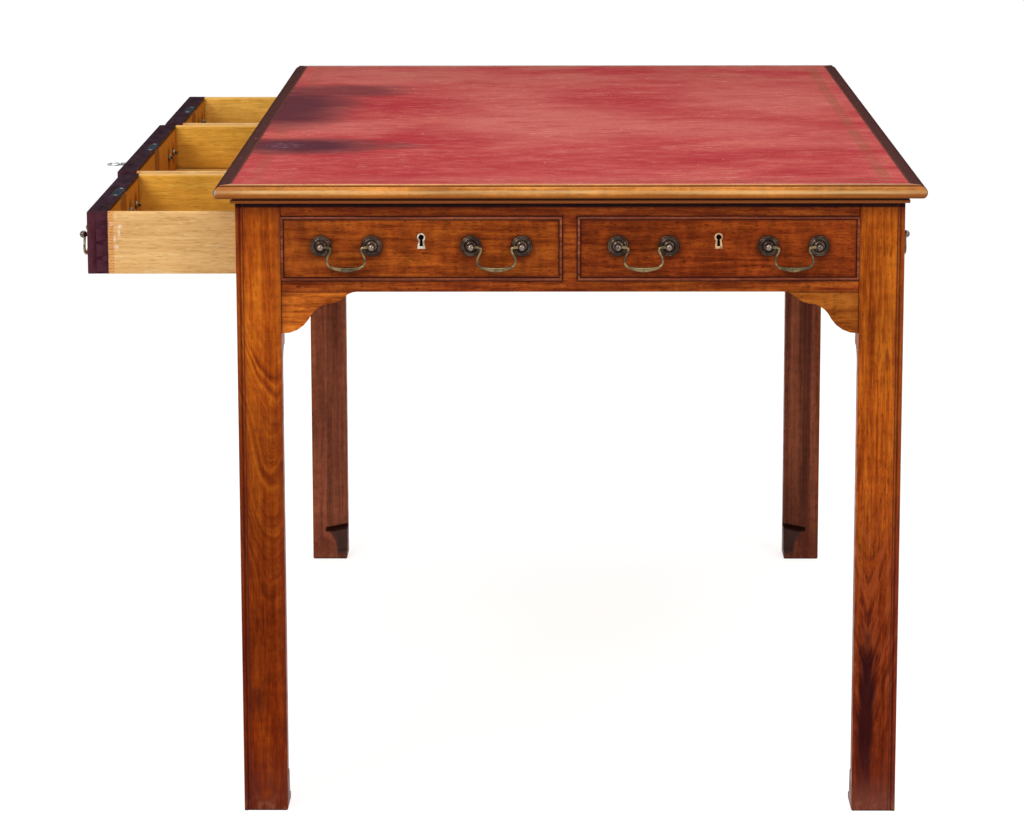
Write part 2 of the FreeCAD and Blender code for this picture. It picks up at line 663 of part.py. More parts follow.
def lock_bolt():
    """The bolt at rest, drawn back flush with the selvedge."""
    mid = DRAWER_FRONT_THICKNESS - SELVEDGE_WIDTH / 2
    half = BOLT_THICKNESS / 2
    top = DRAWER_HIGH - LOCK_PLATE - BOLT_BODY_TOP
    tongue = block(-BOLT_WIDTH / 2, BOLT_WIDTH / 2, mid - half, mid + half, top, DRAWER_HIGH - BOLT_SINK)
    body = block(-BOLT_BODY_WIDTH / 2, BOLT_BODY_WIDTH / 2, mid - half, mid + half, top - BOLT_BODY_HEIGHT, top)
    return joined([tongue, body])


def lock_case():
    """The iron lock: hollow case, back plate and selvedge in one piece, with a slot for the bolt."""
    selvedge, plate, case = lock_blocks()
    inner = DRAWER_FRONT_THICKNESS
    under = DRAWER_HIGH - LOCK_PLATE
    case_back = inner - LOCK_PLATE
    hollow = block(-CASE_WIDTH / 2 + CASE_WALL, CASE_WIDTH / 2 - CASE_WALL,
                   case_back - CASE_DEPTH + CASE_WALL, case_back,
                   under - LOCK_HEIGHT + CASE_WALL, under)
    mid = inner - SELVEDGE_WIDTH / 2
    half = BOLT_THICKNESS / 2 + BOLT_CLEARANCE
    reach = BOLT_WIDTH / 2 + BOLT_CLEARANCE
    slot = block(-reach, reach, mid - half, mid + half, under - 1, DRAWER_HIGH + 1)
    hole = moved(keyhole(KEYHOLE_RADIUS, KEYHOLE_SLOT, KEYHOLE_LENGTH, CASE_WALL * 2),
                 0, case_back - CASE_DEPTH - CASE_WALL / 2, KEY_Z)
    return joined([selvedge, plate, case]).cut(all_of([hollow, slot, hole]))


def key():
    """The key with its bow level: ring, shaft with a collar, and a bit inside the lock."""
    bow = KEY_PROUD - KEY_BOW_RADIUS
    shaft_end = bow - KEY_BOW_RADIUS + KEY_BOW_BAR / 2
    low = -KEY_BOW_THICKNESS / 2
    loop = turning([(KEY_BOW_RADIUS, low), (KEY_BOW_RADIUS, -low)], KEY_BOW_SIDES)
    inside = KEY_BOW_RADIUS - KEY_BOW_BAR
    loop = loop.cut(turning([(inside, low - 1), (inside, 1 - low)], KEY_BOW_SIDES))
    shaft = Part.makeCylinder(KEY_SHAFT_RADIUS, shaft_end + KEY_INSIDE, V(0, KEY_INSIDE, 0), V(0, -1, 0))
    collar_end = shaft_end - KEY_BOW_BAR
    collar = turning([(KEY_COLLAR_RADIUS, collar_end - KEY_COLLAR_LENGTH), (KEY_COLLAR_RADIUS, collar_end)],
                     KEY_SIDES)
    half = KEY_BIT_THICKNESS / 2
    bit = block(0, KEY_BIT_REACH, KEY_INSIDE - KEY_BIT_LENGTH, KEY_INSIDE, -half, half)
    whole = joined([moved(loop, 0, -bow), shaft, facing_out(collar), bit])
    return moved(whole, 0, 0, KEY_Z)


# ---------------------------------------------------------------- drawers
def drawer_width(bay):
    return bay - 2 * DRAWER_SIDE_CLEARANCE


def front_tails(width):
    """The tails of one side, lapped behind the front's face. They widen towards the face."""
    height = DRAWER_HIGH - DRAWER_LOW
    pitch = height / FRONT_TAILS
    spread = (DRAWER_FRONT_THICKNESS - DOVETAIL_LAP) * DOVETAIL_SLOPE
    tip = pitch / 2 - FRONT_PIN / 2
    tails = []
    for n in range(FRONT_TAILS):
        middle = DRAWER_LOW + (n + 0.5) * pitch
        steps = [(DOVETAIL_LAP, middle - tip), (DRAWER_FRONT_THICKNESS, middle - tip + spread),
                 (DRAWER_FRONT_THICKNESS, middle + tip - spread), (DOVETAIL_LAP, middle + tip)]
        tail = face_of(steps, in_yz).extrude(V(DRAWER_SIDE_THICKNESS, 0, 0))
        tails.append(moved(tail, -width / 2))
    return tails


def back_pins(width):
    """The back's pins, through one side. They narrow towards the drawer's end."""
    start = DRAWER_LENGTH - DRAWER_BACK_THICKNESS
    low = BOTTOM_HIGH + PANEL_CLEARANCE
    height = DRAWER_HIGH - DRAWER_BACK_DROP - low
    pitch = height / BACK_PINS
    spread = DRAWER_BACK_THICKNESS * DOVETAIL_SLOPE
    pins = []
    for n in range(BACK_PINS):
        middle = low + (n + 0.5) * pitch
        tip = BACK_PIN / 2
        steps = [(start, middle - tip - spread), (start, middle + tip + spread),
                 (DRAWER_LENGTH, middle + tip), (DRAWER_LENGTH, middle - tip)]
        pin = face_of(steps, in_yz).extrude(V(DRAWER_SIDE_THICKNESS, 0, 0))
        pins.append(moved(pin, -width / 2))
    return pins


def drawer_side(width):
    """The side at -X: rounded top, groove for the bottom, tails at the front, sockets at the back."""
    thick = DRAWER_SIDE_THICKNESS
    r = DRAWER_TOP_ROUND
    high = DRAWER_HIGH - r
    section = [(0.0, DRAWER_LOW), *rounded((r, high), r, 180, 90, BEAD_CHORDS),
               *rounded((thick - r, high), r, 90, 0, BEAD_CHORDS), (thick, DRAWER_LOW)]
    length = DRAWER_LENGTH - DRAWER_FRONT_THICKNESS
    board = face_of(section, in_xz).extrude(V(0, length, 0))
    board = moved(board, -width / 2, DRAWER_FRONT_THICKNESS)
    groove = block(-width / 2 + thick - BOTTOM_GROOVE_DEPTH, -width / 2 + thick + 1,
                   DRAWER_FRONT_THICKNESS - 1, DRAWER_LENGTH + 1,
                   BOTTOM_LOW - PANEL_CLEARANCE, BOTTOM_HIGH + PANEL_CLEARANCE)
    board = board.cut(all_of([groove] + back_pins(width)))
    return joined([board] + front_tails(width))


def drawer_back(width):
    inner = width / 2 - DRAWER_SIDE_THICKNESS
    board = block(-inner, inner, DRAWER_LENGTH - DRAWER_BACK_THICKNESS, DRAWER_LENGTH,
                  BOTTOM_HIGH + PANEL_CLEARANCE, DRAWER_HIGH - DRAWER_BACK_DROP)
    pins = back_pins(width)
    return joined([board] + pins + [pin.mirror(V(0, 0, 0), V(1, 0, 0)) for pin in pins])


def drawer_bottom(width):
    """A thin panel in the grooves of the sides and the front, running out under the back."""
    inner = width / 2 - DRAWER_SIDE_THICKNESS
    panel_half = inner + BOTTOM_GROOVE_DEPTH - 2 * PANEL_CLEARANCE
    front_edge = DRAWER_FRONT_THICKNESS - BOTTOM_GROOVE_DEPTH
    panel = block(-panel_half, panel_half, DRAWER_FRONT_THICKNESS + PANEL_CLEARANCE, DRAWER_LENGTH,
                  BOTTOM_LOW, BOTTOM_HIGH)
    tongue = block(-inner + PANEL_CLEARANCE, inner - PANEL_CLEARANCE, front_edge + PANEL_CLEARANCE,
                   DRAWER_FRONT_THICKNESS + PANEL_CLEARANCE, BOTTOM_LOW, BOTTOM_HIGH)
    return joined([panel, tongue])


def drawer_front(width):
    """The mahogany front, with rebates, sockets, groove, lock recess, keyhole and post holes."""
    half = width / 2
    inner = half - DRAWER_SIDE_THICKNESS
    wood = block(-half, half, 0, DRAWER_FRONT_THICKNESS, DRAWER_LOW, DRAWER_HIGH)
    ring = block(-half - 1, half + 1, -1, COCKBEAD_REBATE, DRAWER_LOW - 1, DRAWER_HIGH + 1)
    field = block(-half + COCKBEAD_WIDTH, half - COCKBEAD_WIDTH, -2, COCKBEAD_REBATE + 1,
                  DRAWER_LOW + COCKBEAD_WIDTH, DRAWER_HIGH - COCKBEAD_WIDTH)
    tails = front_tails(width)
    away = [ring.cut(field)] + tails + [tail.mirror(V(0, 0, 0), V(1, 0, 0)) for tail in tails]
    away.append(block(-inner, inner, DRAWER_FRONT_THICKNESS - BOTTOM_GROOVE_DEPTH, DRAWER_FRONT_THICKNESS + 1,
                      BOTTOM_LOW - PANEL_CLEARANCE, BOTTOM_HIGH + PANEL_CLEARANCE))
    away += list(lock_blocks())
    away.append(moved(keyhole(KEYHOLE_RADIUS, KEYHOLE_SLOT, KEYHOLE_LENGTH, DRAWER_FRONT_THICKNESS - LOCK_PLATE),
                      0, 0, KEY_Z))
    away += [moved(facing_out(shank_hole()), x, 0, PULL_Z) for x, _ in post_places(width)]
    for piece in away:
        wood = wood.cut(piece)
    return wood


def drawer_brasses(width):
    """Backplates, posts with their nuts, and the escutcheon."""
    plate = backplate().cut(facing_out(shank_hole()))
    pieces = [escutcheon()]
    for x, inward in post_places(width):
        pieces += [moved(piece, x, 0, PULL_Z) for piece in (plate, pull_post(inward, SHANK_LENGTH), nut())]
    return all_of(pieces)


def drawer(name):
    """Every node of one drawer, at rest, with the drawer standing open."""
    along, bay, opening = DRAWERS[name]
    width = drawer_width(bay)
    side = drawer_side(width)
    beads = cockbeads(width, DRAWER_HIGH - DRAWER_LOW)
    lock = [lock_case()]
    nodes = {
        "drawer_front": drawer_front(width),
        "drawer_beads": all_of(moved(strip, 0, 0, DRAWER_LOW) for strip in beads),
        "drawer_sides": all_of([side, side.mirror(V(0, 0, 0), V(1, 0, 0)), drawer_back(width)]),
        "drawer_bottom": drawer_bottom(width),
        "drawer_brasses": drawer_brasses(width),
    }
    if name == "middle":
        nodes["lock_bolt"] = lock_bolt()
        nodes["key"] = key()
    else:
        lock.append(lock_bolt())
    nodes["drawer_lock"] = all_of(lock)
    hanging = moved(bail(), 0, 0, PULL_Z)
    # Counted from the near end, which is on the right of this side
    for number, x in enumerate(sorted(pull_centres(width), reverse=True), 1):
        nodes["drawer_bail_%d" % number] = moved(hanging, x)
    return {"%s_%s" % (name, node): on_side(shape, "left", along, opening) for node, shape in nodes.items()}


# ---------------------------------------------------------------- inside the case
def drawer_runners():
    """What the drawers run in: runners under their sides, guides between them, kickers above, and stops."""
    start = -RAIL_FACE_X + OPEN_RAIL_DEPTH
    apron_in = RAIL_FACE_X - APRON_THICKNESS
    end_in = RAIL_FACE_Y - APRON_THICKNESS
    leg_in = HALF_X - LEG_SIDE
    bay_edge = SPAN_Y / 2
    reach = DRAWER_SIDE_CLEARANCE + DRAWER_SIDE_THICKNESS + RUNNER_REACH
    guide_top = FRONT_BOTTOM + GUIDE_HEIGHT
    pieces = []
    for sign in (-1, 1):
        edge = sorted((sign * (bay_edge - reach), sign * end_in))
        guide = sorted((sign * bay_edge, sign * end_in))
        middle = sign * STILE_Y
        broad = STILE_WIDTH / 2 + reach
        narrow = STILE_WIDTH / 2
        pieces += [
            block(start, leg_in, edge[0], edge[1], RAIL_BOTTOM, FRONT_BOTTOM),
            block(start, leg_in, guide[0], guide[1], FRONT_BOTTOM, guide_top),
            block(start, leg_in, edge[0], edge[1], FRONT_TOP, TOP_UNDERSIDE),
            block(start, apron_in, middle - broad, middle + broad, RAIL_BOTTOM, FRONT_BOTTOM),
            block(start, apron_in, middle - narrow, middle + narrow, FRONT_BOTTOM, guide_top),
            block(start, apron_in, middle - broad, middle + broad, FRONT_TOP, TOP_UNDERSIDE),
        ]
    back = DRAWER_FRONT_THICKNESS + STOP_GAP
    for centre, bay in SIDE_BAYS:
        for sign in (-1, 1):
            x = centre + sign * (bay / 2 - STOP_INSET)
            stop = block(x - STOP_LENGTH / 2, x + STOP_LENGTH / 2, back, back + STOP_DEPTH,
                         FRONT_BOTTOM, FRONT_BOTTOM + STOP_HEIGHT)
            pieces.append(on_side(stop, "left"))
    return all_of(pieces)


# ---------------------------------------------------------------- everything
def desk():
    """All nodes by name."""
    nodes = {
        "top_board": top_board(),
        "top_edge_moulding": top_edge_moulding(),
        "leather_skiver": leather_skiver(),
        "apron_near_end": apron("near"),
        "apron_far_end": apron("far"),
        "apron_right_side": apron("right"),
        "rail_above_drawers": rail_above_drawers(),
        "rail_below_drawers": rail_below_drawers(),
    }
    rails = all_of(shape for name, shape in nodes.items() if name.startswith(("apron", "rail")))
    nodes.update(legs(rails))
    nodes["drawer_dividers"] = drawer_dividers()
    nodes["leg_brackets"] = leg_brackets()
    nodes["dummy_fronts"] = dummy_fronts()
    nodes["dummy_front_beads"] = dummy_front_beads()
    nodes["drawer_runners"] = drawer_runners()
    nodes["fixed_escutcheons"] = fixed_escutcheons()
    plates, posts, bails = fixed_pulls()
    nodes["fixed_backplates"] = plates
    nodes["fixed_pull_posts"] = posts
    nodes.update(bails)
    for name in DRAWERS:
        nodes.update(drawer(name))
    return nodes


os.makedirs("parts", exist_ok=True)
for node, shape in desk().items():
    shape.exportStep("parts/%s.step" % node)
    print(node, len(shape.Solids), "solids", "valid" if shape.isValid() else "NOT VALID")
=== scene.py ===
"""Finishes and fine pieces of a leather-topped writing desk, set round its packed construction."""
import math
from functools import reduce

import bmesh
import bpy
from mathutils import Matrix, Vector


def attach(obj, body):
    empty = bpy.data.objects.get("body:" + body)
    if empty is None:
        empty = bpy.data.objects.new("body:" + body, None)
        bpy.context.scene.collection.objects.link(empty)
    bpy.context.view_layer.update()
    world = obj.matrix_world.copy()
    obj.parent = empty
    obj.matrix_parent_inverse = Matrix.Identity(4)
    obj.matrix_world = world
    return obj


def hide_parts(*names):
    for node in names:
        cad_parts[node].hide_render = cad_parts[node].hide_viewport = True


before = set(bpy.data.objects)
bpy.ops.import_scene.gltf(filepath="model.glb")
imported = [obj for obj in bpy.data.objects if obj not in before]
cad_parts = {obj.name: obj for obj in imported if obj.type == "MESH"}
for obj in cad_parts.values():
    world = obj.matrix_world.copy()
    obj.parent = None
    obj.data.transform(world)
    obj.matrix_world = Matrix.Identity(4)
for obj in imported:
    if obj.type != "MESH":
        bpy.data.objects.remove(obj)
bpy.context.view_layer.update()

MM = 0.001
X, Y, Z = 0, 1, 2

# ---------------------------------------------------------------- sizes the construction fixes
DESK_HEIGHT = 765 * MM
TOP_HALF_WIDE = 417.5 * MM
TOP_HALF_LONG = 723.5 * MM
LEATHER_HALF_WIDE = 397.5 * MM
LEATHER_HALF_LONG = 703.5 * MM
TOP_UNDERSIDE = 742 * MM
FACE_NEAR = 698.5 * MM
FACE_SIDE = 392.5 * MM
LEG = 53 * MM
FRONT_LOW = 649.5 * MM
FRONT_HIGH = 725.4 * MM
DRAWER_LOW = 649.8 * MM
DRAWER_HIGH = 724.5 * MM
DRAWER_FRONT = 22 * MM
DRAWER_SLACK = 1.5 * MM
PULL_HIGH = 690.6 * MM
KEY_HIGH = 701 * MM
POST_SPACING = 60 * MM
POST_INSET = 47.6 * MM
BALL_OUT = 12 * MM
BEAD_WIDE = 3.2 * MM
FRONT_ROOT = -8 * MM
# each bay of a side: its middle along the side, and its width
END_BAYS = ((-175 * MM, 332 * MM), (175 * MM, 332 * MM))
SIDE_BAYS = ((-465.25 * MM, 363.5 * MM), (0.0, 531 * MM), (465.25 * MM, 363.5 * MM))
DUMMY_BAYS = {"near": END_BAYS, "far": END_BAYS, "right": SIDE_BAYS}
# each drawer: its bay, and how far it stands open
DRAWERS = {"near": (*SIDE_BAYS[0], 181 * MM), "middle": (*SIDE_BAYS[1], 187.5 * MM),
           "far": (*SIDE_BAYS[2], 181 * MM)}
# each face of the desk: the way its pieces are counted, the way out of it, its distance from the middle
SIDES = {"near": ((1, 0), (0, -1), FACE_NEAR), "far": ((-1, 0), (0, 1), FACE_NEAR),
         "right": ((0, 1), (1, 0), FACE_SIDE), "left": ((0, -1), (-1, 0), FACE_SIDE)}
# sizes that only the finishes show
QUIRK_LINE = 7.4 * MM
TOOLING_INSET = 24 * MM


def on_face(side, opened=0.0):
    """A function from (along, out, up) on one face of the desk to a point of the desk."""
    (ax, ay), (ox, oy), reach = SIDES[side]
    return lambda along, out, up: Vector((ax * along + ox * (reach + opened + out),
                                          ay * along + oy * (reach + opened + out), up))


def out_turn(side):
    """The turn that takes +Z to the way out of a face."""
    (ax, ay), (ox, oy), _ = SIDES[side]
    return Matrix(((ax, 0, ox), (ay, 0, oy), (0, 1, 0))).to_euler()


def pull_middles(width):
    """The middles of a front's two pulls, from the front's own middle."""
    reach = width / 2 - POST_INSET - POST_SPACING / 2
    return (-reach, reach)


def on_circle(radius, degrees):
    """Points on a circle about the middle, at these angles."""
    return [(radius * math.cos(math.radians(a)), radius * math.sin(math.radians(a))) for a in degrees]


def set_all(thing, **settings):
    """Set several of a thing's properties."""
    for name, value in settings.items():
        setattr(thing, name, value)
    return thing


# ---------------------------------------------------------------- writing node trees
def maths(operation, swapped=False):
    """A function that adds one Math node. Swapped, its wire is the second number."""
    def work(wire, other=0.0):
        pair = (other, wire) if swapped else (wire, other)
        return wire.tree.node("ShaderNodeMath", {"operation": operation}, dict(enumerate(pair)))
    return work


class Wire:
    """A node's output, on which sums, products and powers can be written."""

    def __init__(self, tree, socket):
        self.tree = tree
        self.socket = socket

    __add__, __radd__ = maths("ADD"), maths("ADD", True)
    __sub__, __rsub__ = maths("SUBTRACT"), maths("SUBTRACT", True)
    __mul__, __rmul__ = maths("MULTIPLY"), maths("MULTIPLY", True)
    __truediv__, __rtruediv__ = maths("DIVIDE"), maths("DIVIDE", True)
    __pow__, __abs__ = maths("POWER"), maths("ABSOLUTE")


least, most, wave = maths("MINIMUM"), maths("MAXIMUM"), maths("SINE")


def between(value, low, high, at_low=0, at_high=1):
    """A smooth change from one number to another while the value goes from low to high."""
    return value.tree.node("ShaderNodeMapRange", {"interpolation_type": "SMOOTHSTEP"},
                           {"Value": value, "From Min": low, "From Max": high, "To Min": at_low,
                            "To Max": at_high})


def spot(axes, centre, radii):
    """Distance from a centre, 1 on an ellipse of the given radii."""
    return sum(((axis - middle) / radius) ** 2 for axis, middle, radius in zip(axes, centre, radii)) ** 0.5


def tone(red, green, blue):
    """A colour written in screen values, as the linear one that shaders take."""
    linear = [(c / 255 / 12.92) if c <= 10.3 else ((c / 255 + 0.055) / 1.055) ** 2.4
              for c in (red, green, blue)]
    return (*linear, 1.0)


class Tree:
    """A node tree, written afresh."""

    def __init__(self, tree):
        self.tree = tree
        tree.nodes.clear()

    def node(self, kind, settings=None, sockets=None, output=0):
        """Add a node: settings first, then the values or links of its sockets."""
        made = self.tree.nodes.new(kind)
        settings = dict(settings or {})
        stops = settings.pop("stops", ())
        set_all(made, **settings)
        if stops:
            elements = made.color_ramp.elements
            while len(elements) < len(stops):
                elements.new(1.0)
            for element, (position, colour) in zip(elements, stops):
                set_all(element, position=position, color=colour)
        for key, value in (sockets or {}).items():
            if isinstance(value, Wire):
                self.tree.links.new(value.socket, made.inputs[key])
            else:
                made.inputs[key].default_value = value
        return Wire(self, made.outputs[output]) if made.outputs else None

    def vector(self, operation, first, second):
        return self.node("ShaderNodeVectorMath", {"operation": operation}, {0: first, 1: second})

    def mix(self, share, first, second, blend="MIX"):
        return self.node("ShaderNodeMix", {"data_type": "RGBA", "blend_type": blend},
                         {0: share, 6: first, 7: second}, 2)


class Finish(Tree):
    """A material. Its colour starts as a ramp or a mix, and further coats are laid over it."""

    def __init__(self, name):
        self.material = bpy.data.materials.new(name)
        self.material.use_nodes = True
        super().__init__(self.material.node_tree)
        self.place = self.node("ShaderNodeTexCoord", output="Object")
        self.axes = [self.node("ShaderNodeSeparateXYZ", None, {0: self.place}, axis) for axis in "XYZ"]

    def noise(self, scale, detail=2, roughness=0.5, stretch=None, shift=None, at=None, distortion=0,
              output="Fac"):
        """Noise over the piece, or at another place, stretched and shifted."""
        place = at or self.place
        if stretch or shift:
            place = self.node("ShaderNodeMapping", None, {"Vector": place, "Scale": stretch or (1, 1, 1),
                                                          "Location": shift or (0, 0, 0)})
        return self.node("ShaderNodeTexNoise", None,
                         {"Vector": place, "Scale": scale, "Detail": detail, "Roughness": roughness,
                          "Distortion": distortion}, output)

    def moved(self, drift, by):
        """The place, moved by a noise colour."""
        centred = self.vector("SUBTRACT", drift, (0.5, 0.5, 0.5))
        return self.vector("ADD", self.place, self.vector("MULTIPLY", centred, by))

    def crevice(self, reach, low=0.45, high=0.9):
        """1 down in corners and grooves, 0 in the open."""
        open_share = self.node("ShaderNodeAmbientOcclusion", {"samples": 8}, {"Distance": reach}, "AO")
        return between(open_share, low, high, 1, 0)

    def ramp(self, value, *stops):
        """Start the colour as a ramp of (position, red, green, blue)."""
        stops = [(position, tone(*screen)) for position, *screen in stops]
        self.colour = self.node("ShaderNodeValToRGB", {"stops": stops}, {0: value})

    def paint(self, share, *coat):
        """Lay a coat over the colour: red, green and blue in screen values, or a colour that is ready."""
        self.colour = self.mix(share, self.colour, tone(*coat) if len(coat) == 3 else coat[0])

    def tint(self, share, red, green, blue):
        """Multiply the colour by another."""
        self.colour = self.mix(share, self.colour, (red, green, blue, 1), "MULTIPLY")

    def shade(self, amount):
        """Multiply the colour by a number."""
        grey = self.node("ShaderNodeCombineColor", None, {0: amount, 1: amount, 2: amount})
        self.colour = self.mix(1, self.colour, grey, "MULTIPLY")

    def surface(self, roughness, height, depth, shine, strength=1, **constants):
        """Close the material with its roughness, a relief of this depth, and how much it shines."""
        relief = self.node("ShaderNodeBump", None, {"Height": height, "Distance": depth, "Strength": strength})
        shader = self.node("ShaderNodeBsdfPrincipled", None,
                           {"Base Color": self.colour, "Roughness": roughness, "Normal": relief,
                            "Specular IOR Level": shine, **constants})
        self.node("ShaderNodeOutputMaterial", None, {"Surface": shader})
        return self.material


def stretched(along, share, others=1):
    """A scale that draws a pattern out along the grain."""
    return tuple(share if axis == along else others for axis in range(3))


# ---------------------------------------------------------------- mahogany
def mahogany(name, along, seed, dark, mid, light, sway=0.01, stripes=0.5, short=1, arch=None, gloss=0.34,
             worked=None, clouds=0.22, mottle=0.1, pored=0.5, shine=0.03):
    """Old polished mahogany. Its grain runs along one axis and wanders by sway, in metres.
    short makes the streaks shorter, mottle is the depth of the bands that cross the grain, pored that of
    the pores. arch is (middle x, middle y, curve, share) of a figure of nested arches along the grain.
    worked(wood) lays on the colour what age has done to this piece, and painted shade and highlights where the piece
    has them."""
    wood = Finish(name)
    x, y, z = wood.axes
    drift = wood.noise(2.6, 1.5, output="Color", shift=(seed, seed * 0.7, seed * 1.3))
    bent = wood.moved(drift, stretched(along, 0, sway))
    shift = (seed * 3.1, seed * 1.7, seed * 2.3)
    broad = wood.noise(42, 3, 0.6, stretched(along, 0.055 * short), shift, bent)
    narrow = wood.noise(190, 3, 0.62, stretched(along, 0.03 * short), shift, bent)
    fibre = wood.noise(1100, 2, 0.5, stretched(along, 0.02 * short), shift, bent)
    pore = wood.noise(760, 2, 0.65, stretched(along, 0.2), shift, bent)
    flake = wood.noise(150, 2, 0.6, stretched(along, 0.5), shift, bent)
    figure = broad * stripes + narrow * (0.85 - stripes) + flake * 0.15
    if arch:
        middle_x, middle_y, curve, share = arch
        wobble = wood.noise(26, stretch=(1, 1, 0.35), shift=shift)
        climb = z - ((x - middle_x) ** 2 + (y - middle_y) ** 2) * curve + wobble * 0.07
        column = wood.node("ShaderNodeCombineXYZ", None, {1: seed, 2: climb})
        arches = wood.noise(64, 4, 0.6, at=column)
        patchy = between(wood.noise(22, stretch=(1, 1, 0.6), shift=shift), 0.35, 0.6, 0.35, 1)
        strong = between(abs(z - 0.43), 0.11, 0.2, 1, 0.3) * patchy
        figure = figure + ((arches - 0.5) * 1.3 + 0.5 - figure) * (strong * share)
    level = between(figure + (fibre - 0.5) * 0.16, 0.3, 0.7)
    wood.ramp(level, (0, *dark), (0.48, *mid), (1, *light))
    cloud = wood.noise(9, 2.5, stretch=stretched(along, 0.6), shift=shift)
    wood.shade(between(cloud, 0.3, 0.7, 1 - clouds, 1 + clouds * 0.6))
    bands = wood.noise(105, 2, 0.55, stretched(along, 1, 0.4), shift, bent)
    wood.shade(between(bands, 0.3, 0.7, 1 - mottle, 1 + mottle))
    pores = between(pore, 0.54, 0.7) * pored
    wood.paint(pores, 62, 20, 8)
    if worked:
        worked(wood)
    # dirt in corners and grooves, found by occlusion, which also paints the shade there
    grime_and_shade = wood.crevice(3 * MM, 0.55, 0.93)
    wood.paint(grime_and_shade * 0.9, 52, 17, 9)
    rub = wood.noise(60, 3, shift=shift)
    roughness = between(rub, 0.3, 0.7, gloss - 0.07, gloss + 0.1) + pores * 0.2 + grime_and_shade * 0.15
    return wood.surface(roughness, narrow * 0.3 + fibre * 0.35 - pores * 0.5, 0.15 * MM, shine)


def foot_wear(wood):
    """The darkened, scuffed last few centimetres of a leg, and the stopped end of its chamfer."""
    x, y, z = wood.axes
    low = between(z, 0.006, 0.1, 1, 0)
    ragged = wood.noise(110, 4, 0.6, (1, 1, 0.6))
    wood.paint(low * between(ragged, 0.3, 0.6, 0.2, 0.65), 92, 40, 32)
    scuff = between(z, 0, 0.026, 1, 0) * between(ragged, 0.46, 0.64)
    wood.paint(scuff * 0.35, 172, 108, 80)
    quirk = most(FACE_SIDE - abs(x), FACE_NEAR - abs(y))
    wood.paint(between(abs(quirk - QUIRK_LINE), 0.3 * MM, 1.1 * MM, 0.75, 0), 66, 30, 26)
    from_corner = abs(x) + abs(y) - (FACE_SIDE + FACE_NEAR - 2 * LEG)
    # the grey stop of the chamfer: straight sided at first, then curving out to a ledge
    straight, curving, flare, half_wide = 13 * MM, 34 * MM, 14.5 * MM, 18.5 * MM
    ledge_high = straight + curving + 0.5 * MM
    reach = (most(z - straight, 0) / curving) ** 2.2 * flare + half_wide
    tongue = between(from_corner - reach, -0.5 * MM, 1 * MM, 1, 0)
    grey = tongue * between(z, 46 * MM, 43 * MM) * between(z, 4 * MM, 12 * MM, 0.3, 1)
    wood.paint(grey * 0.85, 66, 50, 48)
    ledge = between(from_corner, 35 * MM, 37.5 * MM, 1, 0)
    ledge = ledge * between(abs(z - ledge_high), 3 * MM, 4.8 * MM, 1, 0)
    wood.paint(ledge * 0.92, 24, 13, 12)


def painted_shade_below_top(wood):
    """Painted shadow below the top: a black line, fading down the wood."""
    z = wood.axes[Z]
    # painted shadow of the top's overhang: a soft fade, then a near black line just below the underside
    wood.paint(between(z, TOP_UNDERSIDE - 28 * MM, TOP_UNDERSIDE - 3 * MM, 0, 0.42), 74, 24, 16)
    wood.paint(between(z, TOP_UNDERSIDE - 6.6 * MM, TOP_UNDERSIDE - 4.4 * MM, 0, 0.94), 20, 10, 16)


def leg_ends(wood):
    """What every leg shows at its two ends."""
    painted_shade_below_top(wood)
    foot_wear(wood)


def bead_dirt_and_shade(wood, axis, bays, low=FRONT_LOW, high=FRONT_HIGH):
    """The dark lines beside the cockbeads of these bays: dirt, and painted shade along the beads."""
    across, z = wood.axes[axis], wood.axes[Z]
    middle = (low + high) / 2
    outlines = [most(abs(across - centre) - width / 2, abs(z - middle) - (high - low) / 2)
                for centre, width in bays]
    beyond = reduce(least, [abs(outline + BEAD_WIDE / 2) - BEAD_WIDE / 2 for outline in outlines])
    wood.paint(between(beyond, 0, 5 * MM, 0.4, 0), 70, 24, 16)
    wood.paint(between(beyond, 0.5 * MM, 1.6 * MM, 0.9, 0), 34, 12, 12)


def pull_shadows(wood, axis, bays):
    """Painted shade round the pulls' plates, and a painted shadow below their bails."""
    shadows = []
    for centre, width in bays:
        place = abs(abs(wood.axes[axis] - centre) - pull_middles(width)[1]), wood.axes[Z]
        plate = spot(place, (POST_SPACING / 2, PULL_HIGH - 1 * MM), (13 * MM, 13 * MM))
        grip = spot(place, (0, PULL_HIGH - 30 * MM), (20 * MM, 4.5 * MM))
        shadows.append(most(between(plate, 0.85, 1.6, 0.55, 0), between(grip, 0.4, 1.5, 0.35, 0)))
    wood.paint(reduce(most, shadows), 44, 14, 8)


def near_left_leg(wood):
    """Golden towards the top, deepening to red and darker at the foot, partly as painted shade, with dark edges."""
    x, y, z = wood.axes
    # darker and redder towards the foot: partly the wood, partly painted shade
    deep = between(z, 0.64, 0.16)
    wood.tint(deep, 0.5, 0.31, 0.3)
    edges = between(abs(x + 0.3655), 0.012, 0.026)
    ragged = wood.noise(60, 3, 0.6, (1, 1, 0.12), (2, 1, 3))
    wood.paint(edges * between(ragged, 0.35, 0.65, 0.15, 0.6), 104, 36, 20)
    blotch = wood.noise(48, 3, 0.6, (1, 1, 0.25), (7, 5, 3))
    wood.paint(between(blotch, 0.56, 0.72) * deep * 0.6, 60, 18, 12)
    leg_ends(wood)


